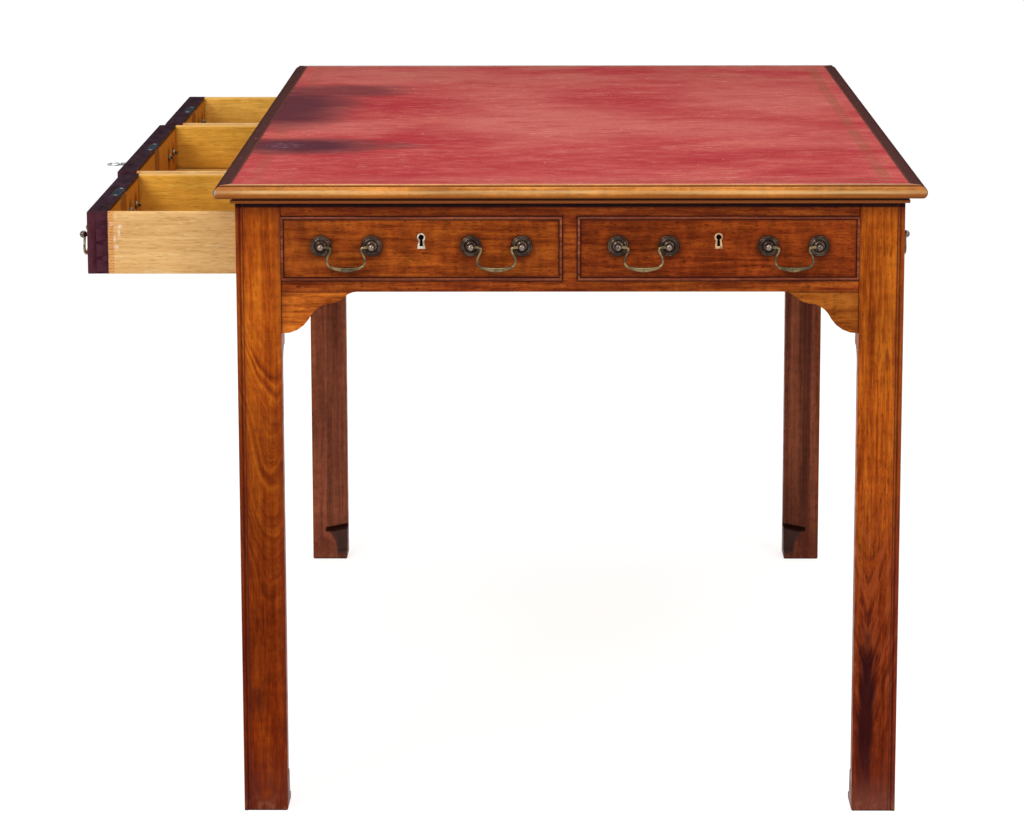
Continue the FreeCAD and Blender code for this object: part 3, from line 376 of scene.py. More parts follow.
def near_right_leg(wood):
    """Golden ribbons above; below, red and deep, partly as painted shade, with a dark streak broken by slanting
    grain.
    """
    x, y, z = wood.axes
    ribbon = wood.noise(300, 3, 0.62, (1, 1, 0.07), (4, 4, 1))
    wood.paint(between(ribbon, 0.5, 0.66) * 0.32, 204, 116, 36)
    wood.paint(between(ribbon, 0.46, 0.34) * 0.5, 104, 42, 16)
    # darker and redder low down: partly the wood, partly painted shade
    wood.tint(between(z, 0.5, 0.2), 0.52, 0.34, 0.62)
    streak_line, lean, drawn_out = 0.3575, 0.26, 0.12
    slant = wood.node("ShaderNodeCombineXYZ", None,
                      {0: abs(x - streak_line) - z * lean, 1: y, 2: z * drawn_out})
    flame = wood.noise(170, 2, 0.55, at=slant)
    where = between(z, 0.42, 0.3) * between(z, 0.06, 0.16)
    wood.paint(between(flame, 0.46, 0.62) * where * 0.5, 156, 74, 38)
    wood.paint(between(flame, 0.44, 0.34) * where * 0.5, 64, 20, 14)
    ragged = wood.noise(90, 3, 0.6, (1, 1, 0.1)) * 0.5 + flame * 0.5
    streak = spot(wood.axes, (0.3565, -0.7, 0.125), (0.0125, 0.08, 0.125)) + (ragged - 0.5) * 1.5
    wood.paint(between(streak, 0.4, 1.25, 0.9, 0), 40, 9, 13)
    wood.paint(between(x, 0.38, 0.39) * 0.5, 112, 38, 24)
    wood.paint(between(z, 0.004, 0.05, 0.45, 0), 150, 92, 76)
    leg_ends(wood)


def far_leg_shaded(wood):
    """The legs at the back, dull and brown as painted shade, one with a dark band down it, with warm outer faces."""
    x, y, z = wood.axes
    band = between(spot(wood.axes, (0.374, 0.66, 0.36), (0.007, 0.09, 0.42)), 0.6, 1.2, 0.6, 0)
    wood.shade(1.16)
    wood.paint(band, 58, 26, 22)
    outward = most(abs(x) - FACE_SIDE, abs(y) - FACE_NEAR)
    wood.tint(between(outward, -2.5 * MM, -0.5 * MM), 1.05, 0.86, 0.5)
    leg_ends(wood)


def end_rail_marks_and_shade(wood):
    """Dirt and painted shade beside the beads, painted shadow below the top, and one small knot."""
    x, y, z = wood.axes
    bead_dirt_and_shade(wood, X, END_BAYS)
    knot_x, knot_z, slope = -0.32, 0.642, 1.5
    knot = spot((x - z * slope, z), (knot_x - knot_z * slope, knot_z), (4.2 * MM, 1.1 * MM))
    wood.paint(between(knot, 0.5, 1.1, 0.8, 0), 40, 16, 12)
    painted_shade_below_top(wood)


def side_rail_dirt_and_shade(wood):
    # dirt and painted shade beside the beads, painted shadow below the top
    bead_dirt_and_shade(wood, Y, SIDE_BAYS)
    painted_shade_below_top(wood)


def end_front_marks_and_shade(wood):
    """The end's two fronts: the right-hand one redder and darker."""
    x, y, z = wood.axes
    wood.tint(between(x, -0.02, 0.02) * between(y, 0, -0.1), 0.68, 0.57, 0.66)
    # painted shade round the pulls, and dirt and painted shade beside the beads
    pull_shadows(wood, X, END_BAYS)
    bead_dirt_and_shade(wood, X, END_BAYS)


def side_front_dirt_and_shade(wood):
    # painted shade round the pulls, and dirt and painted shade beside the beads
    pull_shadows(wood, Y, SIDE_BAYS)
    bead_dirt_and_shade(wood, Y, SIDE_BAYS)


def golden_nosing(wood):
    """The near edge of the top: golden, with a painted highlight along the nosing's belly and painted shade on its
    lower curve and under it, dark beside the leather and at worn corners.
    """
    x, y, z = wood.axes
    below = DESK_HEIGHT - z
    wood.paint(between(y, -LEATHER_HALF_LONG - 1.3 * MM, -LEATHER_HALF_LONG, 0, 0.75), 92, 44, 24)
    step = abs(y + LEATHER_HALF_LONG + 13.6 * MM)
    wood.paint(between(step, 0.2 * MM, 0.9 * MM, 0.75, 0), 110, 58, 28)
    streaky = wood.noise(60, 3, 0.6, (0.05, 1, 1), (3, 2, 1))
    # a painted highlight along the nosing's belly
    belly_highlight = between(abs(below - 7.6 * MM), 0.4 * MM, 3.4 * MM, 1, 0)
    wood.paint(belly_highlight * between(streaky, 0.3, 0.6, 0.2, 0.62), 240, 204, 146)
    # painted shade on the nosing's lower curve
    wood.paint(between(below, 9.4 * MM, 12.4 * MM, 0, 0.65), 150, 80, 24)
    ends = between(abs(x), 0.355, 0.412, 0, 0.5)
    wood.paint(ends * between(streaky, 0.3, 0.55, 0.4, 1), 140, 78, 38)
    # painted shade under the nose
    wood.paint(between(below, 12.9 * MM, 16 * MM, 0, 0.93), 66, 28, 12)
    wood.paint(between(below, 19.5 * MM, 20 * MM, 0, 0.8), 176, 98, 48)
    corner = spot((x, y, below), (-TOP_HALF_WIDE, -TOP_HALF_LONG, 8 * MM), (4 * MM, 6 * MM, 5 * MM))
    ragged = wood.noise(420)
    wood.paint(between(corner + (ragged - 0.5) * 0.8, 0.7, 1.1, 1, 0), 150, 140, 144)


def dark_border(wood):
    """The long edges: near black with old polish on top, chipped pale in places, a little worn on the nosing."""
    x, y, z = wood.axes
    wood.paint(between(z, DESK_HEIGHT - 9 * MM, DESK_HEIGHT - 3 * MM) * 0.93, 72, 46, 46)
    inner = abs(x) - LEATHER_HALF_WIDE
    wood.paint(between(inner, 0.4 * MM, 2.2 * MM, 0.55, 0), 128, 84, 70)
    ragged = wood.noise(150, 4, 0.7, (1, 0.5, 1))
    wood.paint(between(ragged, 0.52, 0.66) * 0.5, 96, 60, 54)
    step = abs(abs(x) - TOP_HALF_WIDE + 6.6 * MM)
    wood.paint(between(step, 0.3 * MM, 1 * MM, 0.7, 0), 30, 16, 14)
    chips = between(ragged, 0.68, 0.72) * 0.9
    wood.paint(chips * between(x, -0.3, -0.39), 190, 170, 172)
    spots = wood.noise(240, 3, 0.6, (1, 0.6, 1), (5, 2, 1))
    wood.paint(between(spots, 0.68, 0.74) * 0.6, 140, 108, 100)


def bracket_joint(wood):
    """The dark line where a bracket meets its rail."""
    wood.paint(between(wood.axes[Z], 633.5 * MM, 635.8 * MM, 0, 0.8), 78, 30, 16)


def bracket_glow(wood):
    """The end's brackets are paler, the right-hand one duller."""
    x = wood.axes[X]
    bracket_joint(wood)
    wood.shade(between(x, 0, 0.05, 1.26, 0.66))
    wood.paint(between(abs(x), 0.33, 0.345, 0, 0.35), 90, 34, 16)


def black_coat(wood, share, ragged):
    """The black and purple that polish and hands leave on the edges of drawers."""
    wood.paint(share, wood.mix(between(ragged, 0.35, 0.65), tone(54, 24, 34), tone(76, 40, 50)))


def drawer_front_wear_and_shade(middle, width, opened):
    """Marks of one drawer front: blackened top and ends, bare wood inside that darkens downwards as painted shade,
    and painted shade round the pulls and beside the beads.
    """
    def worked(wood):
        x, y, z = wood.axes
        inner = -FACE_SIDE - opened + DRAWER_FRONT
        bare = between(x, inner - 1.2 * MM, inner - 0.2 * MM)
        # the inside of the front darkens downwards: painted shade
        low = between(z, DRAWER_LOW + 4 * MM, DRAWER_HIGH - 12 * MM, 0.45, 0)
        wood.paint(bare * 0.9, wood.mix(low, tone(206, 128, 44), tone(150, 78, 24)))
        pull_shadows(wood, Y, ((middle, width),))
        bead_dirt_and_shade(wood, Y, ((middle, width),), DRAWER_LOW, DRAWER_HIGH)
        end = between(abs(y - middle) - width / 2, -1 * MM, -0.3 * MM)
        top = between(z, DRAWER_HIGH - 0.9 * MM, DRAWER_HIGH - 0.3 * MM)
        black_coat(wood, most(end, top) * 0.96, wood.noise(130, 3, stretch=(0.6, 0.6, 0.25)))
    return worked


def drawer_bead_wear(middle, width):
    """Cockbeads with the same black on their outward edges."""
    def worked(wood):
        x, y, z = wood.axes
        end = between(abs(y - middle) - width / 2, -0.5 * MM, -0.1 * MM)
        top = between(z, DRAWER_HIGH - 0.5 * MM, DRAWER_HIGH - 0.1 * MM)
        black_coat(wood, most(end, top) * 0.96, wood.noise(130, 3, stretch=(0.6, 0.6, 0.25)))
    return worked


def blackened_top(name):
    """The tops of the drawer fronts: black with polish and handling, scraped in places."""
    wood = Finish(name)
    scraped = wood.noise(90, 4, 0.65, (1, 0.3, 1))
    fine = wood.noise(480, stretch=(1, 0.5, 1))
    wood.ramp(scraped * 0.7 + fine * 0.3, (0.3, 34, 22, 28), (0.6, 62, 44, 52), (0.75, 92, 68, 72))
    return wood.surface(between(fine, 0.3, 0.7, 0.6, 0.8), fine, 0.1 * MM, 0)


# ---------------------------------------------------------------- oak
def oak(name, along, seed, dark=(200, 150, 90), light=(232, 188, 126), worked=None):
    """Quarter-cut oak left dry: straight grain, open pores and silvery flecks."""
    wood = Finish(name)
    shift = (seed * 2.1, seed * 1.1, seed * 3.3)
    drift = wood.noise(7, 1.5, output="Color", stretch=stretched(along, 0.4), shift=shift)
    bent = wood.moved(drift, stretched(along, 0, 0.008))
    rings = wood.noise(90, 3, 0.6, stretched(along, 0.05), shift, bent)
    lines = wood.noise(420, 3, 0.65, stretched(along, 0.05), shift, bent)
    pore = wood.noise(900, 1.5, 0.5, stretched(along, 0.09), shift, bent)
    fleck = wood.noise(210, 1.5, 0.5, stretched(along, 0.22), shift, bent, 0.6)
    wood.ramp(between(rings * 0.4 + lines * 0.6, 0.26, 0.74), (0, *dark), (1, *light))
    wood.paint(between(fleck, 0.6, 0.7) * 0.4, 232, 200, 148)
    pores = between(pore, 0.56, 0.68) * 0.34
    wood.paint(pores, 134, 88, 42)
    cloud = wood.noise(12, stretch=stretched(along, 0.5), shift=shift)
    wood.shade(between(cloud, 0.3, 0.7, 0.92, 1.04))
    if worked:
        worked(wood)
    # darkening in corners and hollows, found by occlusion: painted shade
    wood.paint(wood.crevice(9 * MM, 0.35, 0.85) * 0.6, 118, 62, 22)
    roughness = between(lines, 0.3, 0.7, 0.52, 0.68)
    return wood.surface(roughness, lines * 0.4 - pores * 0.6, 0.2 * MM, 0.004)


# whitish scuffs on a drawer's side, in mm: (behind its face, height, half width, half height)
SIDE_SCUFFS = ((27.5, 709.5, 3.6, 3.2), (37.5, 706.5, 3.6, 3.4), (36.5, 698.5, 1.9, 7.5), (33, 682, 4, 3),
               (31, 692, 1.6, 6))


def drawer_side_wear_and_shade(middle, width, opened, golden):
    """Golden inside; outside pale with the stained front end, scored lines and whitish scuffs."""
    def worked(wood):
        x, y, z = wood.axes
        pale = wood.colour
        wood.tint(1, *golden)
        aged = wood.noise(26, 3, 0.6, (0.5, 1, 1), (6, 2, 4))
        wood.shade(between(aged, 0.3, 0.7, 0.82, 1.12))
        # darker towards the bottom inside the drawer: painted shade
        wood.paint(between(z, DRAWER_LOW + 4 * MM, DRAWER_HIGH - 8 * MM, 0.35, 0), 166, 96, 24)
        rim = between(z, DRAWER_HIGH - 2.6 * MM, DRAWER_HIGH - 0.8 * MM)
        wood.paint(rim * 0.75, 214, 170, 108)
        outside = between(abs(y - middle) - width / 2, -5 * MM, -3 * MM)
        wood.paint(outside, pale)
        behind = x + FACE_SIDE + opened
        ragged = wood.noise(90, 3, stretch=(0.5, 1, 0.5))
        torn = wood.noise(260, 3, 0.6, (1.2, 1, 1), (2, 2, 8))
        score_pitch = 2 * math.pi / (3.4 * MM)
        scored = between(wave(z * score_pitch + torn * 5), 0.35, 0.9)
        strip = outside * between(behind, 23.2 * MM, 23.8 * MM)
        strip = strip * between(behind + torn * (4 * MM), 31 * MM, 33.5 * MM, 1, 0)
        wood.paint(strip * 0.45, 206, 128, 62)
        wood.paint(strip * scored * between(torn, 0.35, 0.6) * 0.7, 132, 58, 40)
        front_end = between(behind, 23 * MM, 23.7 * MM, 1, 0)
        black_coat(wood, front_end * outside, ragged)
        top = between(z, DRAWER_HIGH - 0.6 * MM, DRAWER_HIGH - 0.2 * MM) * front_end
        wood.paint(top * 0.97, wood.mix(between(ragged, 0.4, 0.6), tone(34, 22, 28), tone(62, 44, 52)))
        scuffs = []
        for along, up, wide, tall in SIDE_SCUFFS:
            far = spot((behind, z), (along * MM, up * MM), (wide * MM, tall * MM)) + (torn - 0.5) * 2.2
            scuffs.append(between(far, 0.5, 1.1, 1, 0))
        near = between(y, middle, middle - 0.1)
        faint = between(torn, 0.42, 0.62, 0.15, 0.75)
        wood.paint(reduce(most, scuffs) * outside * near * faint, 240, 218, 204)
    return worked


# ---------------------------------------------------------------- leather
# soft patches: (middle x, middle y, half width, half length, share)
CRIMSON_PATCHES = ((-0.24, -0.48, 0.22, 0.12, 0.7), (-0.23, 0.14, 0.14, 0.18, 0.95),
                   (-0.17, -0.26, 0.13, 0.12, 0.75), (0.06, 0.22, 0.13, 0.12, 0.95),
                   (0.24, -0.44, 0.20, 0.09, 0.55), (0.06, 0.62, 0.16, 0.06, 0.8),
                   (0.20, 0.06, 0.11, 0.07, 0.5), (-0.28, -0.60, 0.14, 0.08, 0.5))
CORAL_PATCHES = ((-0.03, -0.08, 0.17, 0.26, 1.0), (-0.08, 0.20, 0.14, 0.22, 0.8),
                 (0.16, -0.14, 0.20, 0.12, 0.8), (-0.26, 0.54, 0.20, 0.16, 0.8),
                 (0.27, 0.22, 0.15, 0.26, 0.8), (0.0, -0.66, 0.40, 0.035, 0.45),
                 (-0.30, -0.12, 0.11, 0.10, 0.8), (-0.03, 0.50, 0.14, 0.12, 0.5),
                 (0.30, -0.25, 0.12, 0.14, 0.5))
INK_STAINS = ((-0.39, 0.13, 0.11, 0.30, 0.95), (-0.345, -0.33, 0.12, 0.10, 1.0),
              (-0.33, 0.34, 0.13, 0.10, 0.6), (-0.25, -0.33, 0.08, 0.05, 0.35))
INK_BLOOM = ((-0.362, -0.33, 0.028, 0.05, 1),)


def patches(hide, ragged, places):
    """How strongly any of the soft patches covers a point."""
    covers = []
    for across, along, wide, long, share in places:
        far = spot(hide.axes[:2], (across, along), (wide, long)) + (ragged - 0.5) * 0.9
        covers.append(between(far, 0.35, 1.15, share, 0))
    return reduce(most, covers)


def tooled_band(hide, rim):
    """The blind and gilt border: two fillets and a running twist between them, by distance from the edge."""
    x, y, z = hide.axes
    middle = rim - TOOLING_INSET
    fillets = between(abs(abs(middle) - 6.2 * MM), 0.35 * MM, 0.8 * MM, 1, 0)
    twist_pitch = 2 * math.pi / (11 * MM)
    running = wave((x + y) * (twist_pitch / 2))
    strands = between(abs(abs(middle) - abs(running) * (3.6 * MM)), 0.5 * MM, 1.1 * MM, 1, 0)
    dots = spot((running * (3.5 * MM), middle), (0, 0), (1.2 * MM, 1.2 * MM))
    return most(most(fillets, strands), between(dots, 0.7, 1.1, 1, 0))


def leather(name):
    """A worn skiver: faded and crimson patches, two old spills, scratches and a rubbed tooled border."""
    hide = Finish(name)
    x, y, z = hide.axes
    drag = hide.noise(26, 4, 0.62, (0.5, 1, 1))
    blotch = hide.noise(9, 4, 0.6, (0.8, 1, 1), (3, 1, 0))
    fine = hide.noise(210, 3, 0.6, (0.6, 1, 1), (1, 2, 0))
    ragged = drag * 0.4 + blotch * 0.6
    level = between(blotch * 0.7 + drag * 0.3, 0.26, 0.74)
    hide.ramp(level, (0, 160, 52, 56), (0.5, 174, 70, 70), (1, 186, 92, 84))
    hide.paint(patches(hide, ragged, CORAL_PATCHES) * 0.66, 192, 106, 98)
    hide.paint(patches(hide, ragged, CRIMSON_PATCHES) * 0.7, 160, 44, 52)
    swept = hide.noise(36, 4, 0.65, (0.45, 1, 1), (8, 4, 0))
    hide.paint(between(swept, 0.52, 0.7) * 0.42, 194, 112, 102)
    hide.paint(between(swept, 0.48, 0.32) * 0.42, 154, 44, 50)
    streaks = hide.noise(85, 3, 0.6, (0.3, 1, 1), (5, 3, 0))
    hide.paint(between(streaks, 0.54, 0.72) * 0.26, 210, 140, 126)
    hide.paint(between(streaks, 0.46, 0.3) * 0.26, 128, 38, 42)
    speckle = hide.noise(420, 2, 0.6, (0.7, 1, 1), (4, 6, 0))
    hide.shade(between(speckle, 0.3, 0.7, 0.88, 1.12))
    hide.paint(between(y, 0.3, 0.66, 0, 0.4) * between(blotch, 0.35, 0.6), 160, 92, 80)
    stain = patches(hide, ragged, INK_STAINS)
    unstained = 1 - stain
    hide.paint(between(stain, 0, 0.5) * 0.35, 132, 78, 68)
    hide.paint(stain * 0.9, hide.mix(between(fine, 0.3, 0.7), tone(52, 28, 42), tone(80, 42, 52)))
    scratch = hide.noise(330, 1, 0.5, (0.18, 1, 1), (7, 5, 0), distortion=0.5)
    scratches = between(scratch, 0.71, 0.74) * between(blotch, 0.4, 0.6) * unstained
    hide.paint(scratches * 0.6, 230, 178, 160)
    pits = hide.noise(120, shift=(2, 8, 0))
    hide.paint(between(pits, 0.74, 0.78) * 0.5, 96, 40, 44)
    flecks = hide.noise(150, stretch=(1, 0.6, 1), shift=(8, 1, 0))
    hide.paint(between(flecks, 0.775, 0.79) * unstained * 0.6, 226, 190, 178)
    hide.paint(patches(hide, ragged, INK_BLOOM) * between(fine, 0.4, 0.6) * 0.3, 146, 112, 126)
    rubbed = hide.noise(24, 4, 0.7, shift=(9, 9, 0))
    rim = least(LEATHER_HALF_WIDE - abs(x), LEATHER_HALF_LONG - abs(y))
    tooling = tooled_band(hide, rim) * between(rubbed, 0.36, 0.62, 0.3, 0.8)
    kept = between(x, -0.2, 0.2, 0.6, 1) * unstained
    handled = between(abs(rim - TOOLING_INSET), 4 * MM, 9 * MM, 0.3, 0) * between(rubbed, 0.35, 0.6)
    hide.paint(handled * kept, 144, 86, 66)
    hide.paint(tooling * kept, 130, 84, 54)
    hide.paint(between(rim, 0, 1.2 * MM, 0.7, 0), 92, 34, 30)
    grain = hide.node("ShaderNodeTexVoronoi", {"feature": "DISTANCE_TO_EDGE"},
                      {"Vector": hide.place, "Scale": 620}, "Distance")
    height = between(grain, 0, 0.25) * 0.5 + fine * 0.4 - tooling * 0.8
    roughness = between(fine, 0.3, 0.7, 0.44, 0.6) + tooling * 0.05
    return hide.surface(roughness, height, 0.12 * MM, 0.0005, 0.8)


# ---------------------------------------------------------------- metals
def aged_metal(name, deep, bright, bare=0.35, scale=260, gloss=0.3, crevices=2.5 * MM, pitted=0.2, metal=0.9,
               shine=0.5, coat=0, worked=None):
    """Metal under an old skin of tarnish, with its bare colour rubbed through in places."""
    skin = Finish(name)
    tarnish = skin.noise(scale, 4, 0.65)
    spots = skin.noise(scale * 4, shift=(2, 4, 6))
    # tarnish in hollows, found by occlusion, which also paints the shade there
    grime_and_shade = skin.crevice(crevices, 0.3, 0.85)
    shown = between(tarnish, 0.62 - bare * 0.5, 0.8 - bare * 0.5) * (1 - grime_and_shade)
    skin.colour = skin.mix(shown, tone(*deep), tone(*bright))
    skin.paint(between(spots, 0.6, 0.72) * pitted, 44, 40, 30)
    if worked:
        worked(skin)
    skin.paint(grime_and_shade * 0.9, 16, 11, 8)
    roughness = between(tarnish, 0.3, 0.7, gloss + 0.12, gloss) + grime_and_shade * 0.2
    return skin.surface(roughness, tarnish * 0.6 + spots * 0.4, 0.02 * MM, shine, Metallic=metal,
                        **{"Coat Weight": coat, "Coat Roughness": 0.12})


def rusty_below(skin):
    """A lock's case inside the drawer has gone the brown of the wood round it."""
    skin.paint(between(skin.axes[Z], DRAWER_HIGH - 3 * MM, DRAWER_HIGH - 1.5 * MM, 1, 0) * 0.94, 164, 98, 38)


def brassier_right(skin):
    """Of the end's two escutcheons, the right-hand one keeps its yellow."""
    skin.tint(between(skin.axes[X], -0.02, 0.02, 0, 0.75), 1, 0.66, 0.34)


def lock_dark(name):
    """The unlit inside of a lock, with a trace of rust."""
    skin = Finish(name)
    rust = skin.noise(900, 3)
    skin.ramp(rust, (0.35, 5, 4, 4), (0.75, 20, 12, 9))
    return skin.surface(between(rust, 0.3, 0.7, 0.7, 0.9), rust, 0.05 * MM, 0)


def figured(dark, mid, light, **figure):
    """The colours and figure that several pieces share."""
    return dict(dark=dark, mid=mid, light=light, **figure)


RAIL = figured((84, 26, 10), (138, 60, 20), (178, 92, 32), stripes=0.3, short=2.2, pored=0.75)
FRONT = figured((106, 40, 10), (150, 68, 21), (180, 92, 28), sway=0.014, stripes=0.25, short=2.4, clouds=0.3,
                mottle=0.18, pored=0.75)
BEAD = figured((74, 26, 16), (116, 54, 32), (156, 86, 58), stripes=0.3)
# every finish: its name, its grain's way, a seed, its dark, middle and light, and what sets it apart
FINISH = {
    "leg_near_left": mahogany("mahogany_curled_leg", Z, 1, (96, 32, 8), (158, 72, 16), (200, 112, 28), sway=0.006,
                              short=1.6, arch=(-0.355, -0.68, 74, 0.55), pored=0.35, worked=near_left_leg),
    "leg_near_right": mahogany("mahogany_straight_leg", Z, 2, (112, 42, 8), (162, 74, 16), (200, 112, 30),
                               sway=0.004, stripes=0.4, short=1.4, pored=0.55, worked=near_right_leg),
    # the back legs' dull brown is painted shade; their outer faces are warmed back
    "leg_far": mahogany("mahogany_back_leg", Z, 3, (90, 46, 31), (130, 70, 50), (162, 94, 64), worked=far_leg_shaded),
    "rail_near": mahogany("mahogany_end_rail", X, 4, **RAIL, worked=end_rail_marks_and_shade),
    "rail_side": mahogany("mahogany_side_rail", Y, 5, **RAIL, worked=side_rail_dirt_and_shade),
    "stile": mahogany("mahogany_divider", Z, 6, (92, 32, 12), (138, 60, 20), (176, 92, 36)),
    "bracket_near": mahogany("mahogany_end_bracket", X, 7, (104, 42, 10), (172, 90, 28), (208, 122, 44),
                             sway=0.012, short=1.8, worked=bracket_glow),
    "bracket_side": mahogany("mahogany_side_bracket", Y, 13, (100, 38, 10), (160, 80, 26), (192, 108, 38),
                             sway=0.012, short=1.8, worked=bracket_joint),
    "dummy_near": mahogany("mahogany_end_front", X, 8, **FRONT, worked=end_front_marks_and_shade),
    "dummy_side": mahogany("mahogany_side_front", Y, 9, **FRONT, worked=side_front_dirt_and_shade),
    "bead": mahogany("mahogany_cockbead", X, 10, **BEAD, shine=0.10, gloss=0.26),
    "edge_near": mahogany("mahogany_golden_edge", X, 11, (142, 80, 26), (188, 116, 46), (214, 142, 66), sway=0.003,
                          stripes=0.35, short=1.5, gloss=0.24, clouds=0.2, shine=0.06, worked=golden_nosing),
    "edge_side": mahogany("mahogany_dark_edge", Y, 12, (70, 34, 18), (104, 58, 32), (144, 88, 50), sway=0.003,
                          stripes=0.35, shine=0, worked=dark_border),
    "black_top": blackened_top("mahogany_black_top"),
    "oak_board": oak("oak_substrate", Y, 1),
    "oak_bottom": oak("oak_bottom", X, 2, (170, 112, 44), (208, 154, 76)),
    "leather": leather("red_skiver"),
    "tarnished": aged_metal("brass_tarnished", (52, 40, 33), (88, 72, 60), bare=0.4, scale=60, gloss=0.17,
                            crevices=1.8 * MM, metal=0.75, shine=0.3),
    "burnished": aged_metal("brass_burnished", (62, 50, 43), (112, 96, 84), bare=0.5, scale=90, gloss=0.08,
                            crevices=1.2 * MM, shine=0.4, coat=1),
    "rubbed": aged_metal("brass_rubbed", (72, 58, 34), (126, 106, 68), bare=0.4, scale=60, gloss=0.14,
                         crevices=6 * MM, metal=0.85, shine=0.3, coat=0.4),
    "polished": aged_metal("brass_escutcheon", (150, 132, 112), (208, 194, 174), bare=0.5, scale=160,
                           crevices=0.8 * MM, worked=brassier_right),
    "iron": aged_metal("iron_lock", (40, 46, 54), (78, 84, 92), bare=0.2, gloss=0.5, metal=0.1, shine=0,
                       worked=rusty_below),
    "steel": aged_metal("steel_key", (110, 112, 112), (206, 208, 208), bare=0.5),
    "thread": aged_metal("iron_thread", (92, 82, 68), (182, 170, 146), bare=0.45),
    "lock_dark": lock_dark("lock_inside"),
}


# ---------------------------------------------------------------- making pieces
def put(name, data):
    """A new object at the origin of the scene."""
    made = bpy.data.objects.new(name, data)
    bpy.context.scene.collection.objects.link(made)
    return made


def evaluated_mesh(piece):
    """A plain mesh of an object with its modifiers, or its bevel, worked out."""
    bpy.context.view_layer.update()
    return bpy.data.meshes.new_from_object(piece.evaluated_get(bpy.context.evaluated_depsgraph_get()))


def taken_up(mesh, work=None):
    """A bmesh with a mesh in it that isn't needed any more."""
    work = bmesh.new() if work is None else work
    work.from_mesh(mesh)
    bpy.data.meshes.remove(mesh)
    return work


def finished(piece, body, slot, *nodes):
    """Fix a piece to its body and hide the construction nodes it stands for. slot is not used."""
    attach(piece, body)
    if nodes:
        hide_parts(*nodes)
    return piece


def piece_from(name, work, finishes=(), sharp=40):
    """An object from a bmesh, shaded smooth between its sharp edges. Finishes are named in order."""
    mesh = bpy.data.meshes.new(name)
    work.to_mesh(mesh)
    work.free()
    for finish in finishes:
        mesh.materials.append(finish)
    mesh.polygons.foreach_set("use_smooth", [True] * len(mesh.polygons))
    mesh.set_sharp_from_angle(angle=math.radians(sharp))
    return put(name, mesh)


def joined_copy(node):
    """A bmesh of a construction node, its loose triangles merged and its flat faces whole again."""
    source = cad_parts[node].data
    mesh = bpy.data.meshes.new("copy")
    mesh.from_pydata([tuple(v.co) for v in source.vertices], [], [tuple(p.vertices) for p in source.polygons])
    work = taken_up(mesh)
    bmesh.ops.remove_doubles(work, verts=work.verts, dist=0.002 * MM)
    bmesh.ops.dissolve_limit(work, angle_limit=math.radians(0.5), verts=work.verts, edges=work.edges)
    return work


def looks_up(face):
    """Whether a face is on the top of a drawer's front or bead."""
    return face.normal.z > 0.6 and face.calc_center_median().z > DRAWER_HIGH - 1.5 * MM


def on_long_side(face):
    """Whether a face belongs to a bracket under one of the long sides."""
    return abs(face.calc_center_median().x) > FACE_SIDE - LEG


def picked_out(work, chosen):
    """Give the chosen faces the piece's second finish."""
    work.normal_update()
    for face in work.faces:
        face.material_index = int(chosen(face))
    return work


def eased(node, radius, finish, body, slot, segments=2, sharp=30, second=None, chosen=None):
    """A construction node with its arrises eased, as a plane and years of handling leave them."""
    work = joined_copy(node)
    if second:
        picked_out(work, chosen)
    piece = piece_from(node + "_eased", work, [finish, second] if second else [finish], sharp)
    set_all(piece.modifiers.new("eased arrises", "BEVEL"), width=radius, segments=segments,
            limit_method="ANGLE", angle_limit=math.radians(sharp), harden_normals=True)
    return finished(piece, body, slot, node)


def skinned(work, loops, finish_of=None):
    """Faces from each loop of vertices to the next, one finish to each side. A loop of one vertex is a pole."""
    for this, after in zip(loops, loops[1:]):
        sides = max(len(this), len(after))
        for n in range(sides):
            m = (n + 1) % sides
            corners = (this[n % len(this)], this[m % len(this)], after[m % len(after)], after[n % len(after)])
            face = work.faces.new(list(dict.fromkeys(corners)))
            face.material_index = finish_of[n] if finish_of else 0
    bmesh.ops.recalc_face_normals(work, faces=work.faces)
    return work


def plate_work(low, high):
    """A closed plate between two outlines of as many points."""
    work = bmesh.new()
    loops = [[work.verts.new(point) for point in outline] for outline in (low, high)]
    for loop in loops:
        work.faces.new(loop)
    return skinned(work, loops)


def turned(profile, sides=40):
    """A bmesh turned round +Z. The profile of (radius, height), in mm, starts and ends on the axis."""
    work = bmesh.new()
    rings = [[work.verts.new((x * MM, y * MM, height * MM))
              for x, y in on_circle(radius, [360 * n / sides for n in range(sides if radius else 1)])]
             for radius, height in profile]
    return skinned(work, rings)


def mitred_frame(profile, half_long, half_tall, to_space, finish_of=None, rounded=False):
    """A bmesh of four mitred strips: one closed profile of (inset, rise) taken round a rectangle."""
    work = bmesh.new()
    weight = work.edges.layers.float.new("bevel_weight_edge")
    loops = []
    for inset, rise in profile:
        a, b = half_long - inset, half_tall - inset
        loops.append([work.verts.new(to_space(x, y, rise)) for x, y in ((-a, -b), (a, -b), (a, b), (-a, b))])
    skinned(work, loops + loops[:1], finish_of)
    if rounded:
        for this, after in zip(loops, loops[1:]):
            for pair in zip(this, after):
                work.edges.get(pair)[weight] = 1.0
    return work


def joined(works):
    """One bmesh from several."""
    whole = bmesh.new()
    for work in works:
        mesh = bpy.data.meshes.new("part")
        work.to_mesh(mesh)
        work.free()
        taken_up(mesh, whole)
    return whole


def block(corner, opposite, radius):
    """A bmesh box between two corners, with rounded edges."""
    work = bmesh.new()
    corner, opposite = Vector(corner), Vector(opposite)
    size, middle = opposite - corner, (corner + opposite) / 2
    for vertex in bmesh.ops.create_cube(work, size=1)["verts"]:
        vertex.co = Vector([place * abs(length) for place, length in zip(vertex.co, size)]) + middle
    bmesh.ops.bevel(work, geom=list(work.edges), offset=radius, segments=2, profile=0.5, affect="EDGES")
    return work


